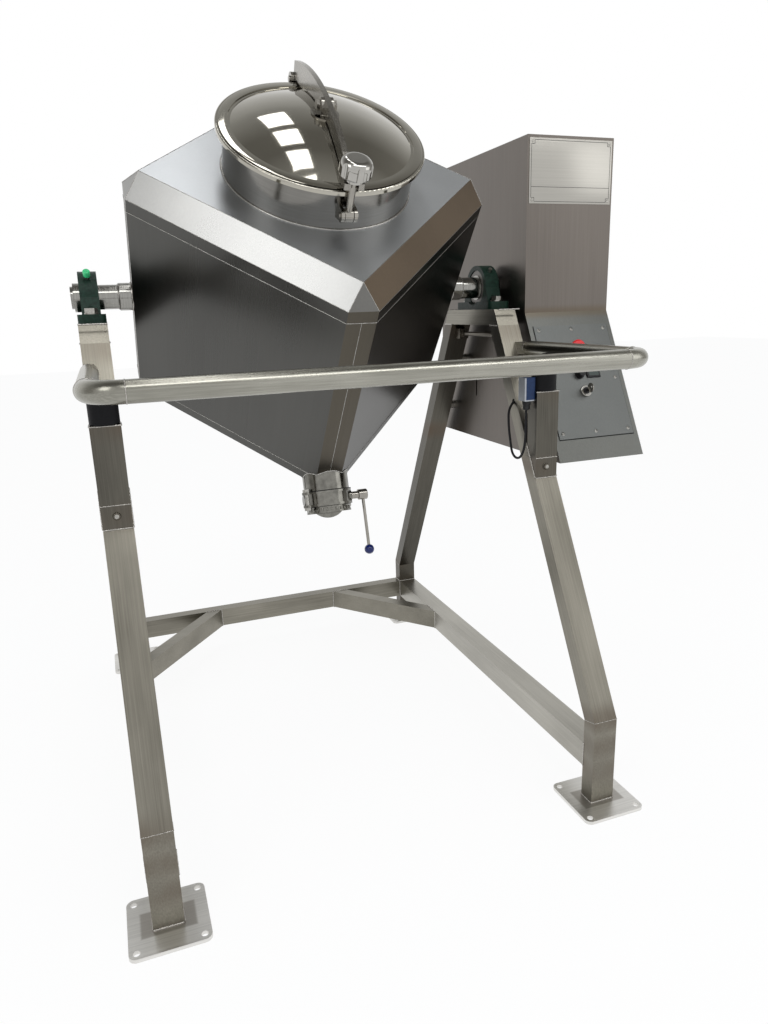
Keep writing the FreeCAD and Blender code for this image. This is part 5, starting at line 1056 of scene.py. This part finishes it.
left, right = plate_left_x + inset, plate_right_x - inset
low, high = plate_low + inset, plate_high - inset
for z in (low, high):
    border_across(left + notch, right - notch, z)
for x in (left, right):
    border_up(x, low + notch, high - notch)
border_across(left, right, low + title_rise)
for x, x_in in ((left, left + notch), (right, right - notch)):
    for z, z_in in ((low, low + notch), (high, high - notch)):
        border_across(min(x, x_in), max(x, x_in), z_in)
        border_up(x_in, min(z, z_in), max(z, z_in))
etched_black = plain_finish("etched_black", (0.02, 0.02, 0.02), 0.5, grain_scale=300.0)
finished(shape, "plate_border", etched_black, "frame")
screw_inset = 3.0
shape = bmesh.new()
for x in (left + screw_inset, right - screw_inset):
    for z in (low + screw_inset, high - screw_inset):
        head = Matrix.Translation(spot(x, plate_y - 1.9, z)) @ facing_front
        bmesh.ops.create_cone(shape, cap_ends=True, segments=20, radius1=0.0034, radius2=0.0022,
                              depth=0.0014, matrix=head)
finished(shape, "plate_screws", zinc, "frame")

# Panel controls: a red moulded emergency stop, a key switch in a polished bezel, a black dial with
# a white pointer line and a small display behind a dark window, all fixed through holes in the
# panel.
black_plastic = plain_finish("black_plastic", (0.010, 0.010, 0.011), 0.36, grain_scale=120.0,
                             bump=0.15, specular=0.25)
dress("stop_head", plain_finish("stop_red", (0.62, 0.008, 0.014), 0.28, grain_scale=30.0,
                                swing=0.05, coat=0.3))
dress("key_bezel", knob_steel)
dress("key", polished_steel)
for node in ("stop_body", "key_barrel", "speed_dial", "display"):
    dress(node, black_plastic)
controls_height = 974
display_x, display_face = 705, 4.15
dial_x, dial_top = 664.5, 15.1
display_middle = on_panel(display_x, controls_height, display_face)
window_place = Matrix.Translation(display_middle) @ upright(panel_out)
window_size = Matrix.Diagonal((0.030, 0.015, 0.0003, 1.0))
shape = bmesh.new()
bmesh.ops.create_cube(shape, size=1.0, matrix=window_place @ window_size)
display_glass = plain_finish("display_glass", (0.030, 0.045, 0.040), 0.08, grain_scale=40.0,
                             coat=0.6)
finished(shape, "display_window", display_glass, "frame")
dial_middle = on_panel(dial_x, controls_height, dial_top)
dial_face = Matrix.Translation(dial_middle) @ upright(panel_out)
pointer_place = Matrix.Translation((0.0, 0.0062, 0.0))
pointer_size = Matrix.Diagonal((0.0014, 0.0070, 0.0004, 1.0))
shape = bmesh.new()
bmesh.ops.create_cube(shape, size=1.0, matrix=dial_face @ pointer_place @ pointer_size)
pointer_white = plain_finish("pointer_white", (0.75, 0.75, 0.73), 0.4, grain_scale=200.0)
finished(shape, "dial_pointer", pointer_white, "dial")

# Reducer and motor inside the housing: a worm reducer in raw cast aluminium on the end of the axle,
# and a finned motor in grey-blue paint on the reducer.
dress("gear_reducer", plain_finish("cast_aluminium", (0.42, 0.42, 0.42), 0.48, metallic=0.9,
                                   grain_scale=200.0, bump=0.3))
dress("drive_motor", plain_finish("motor_paint", (0.085, 0.125, 0.165), 0.42, grain_scale=140.0,
                                  bump=0.2))
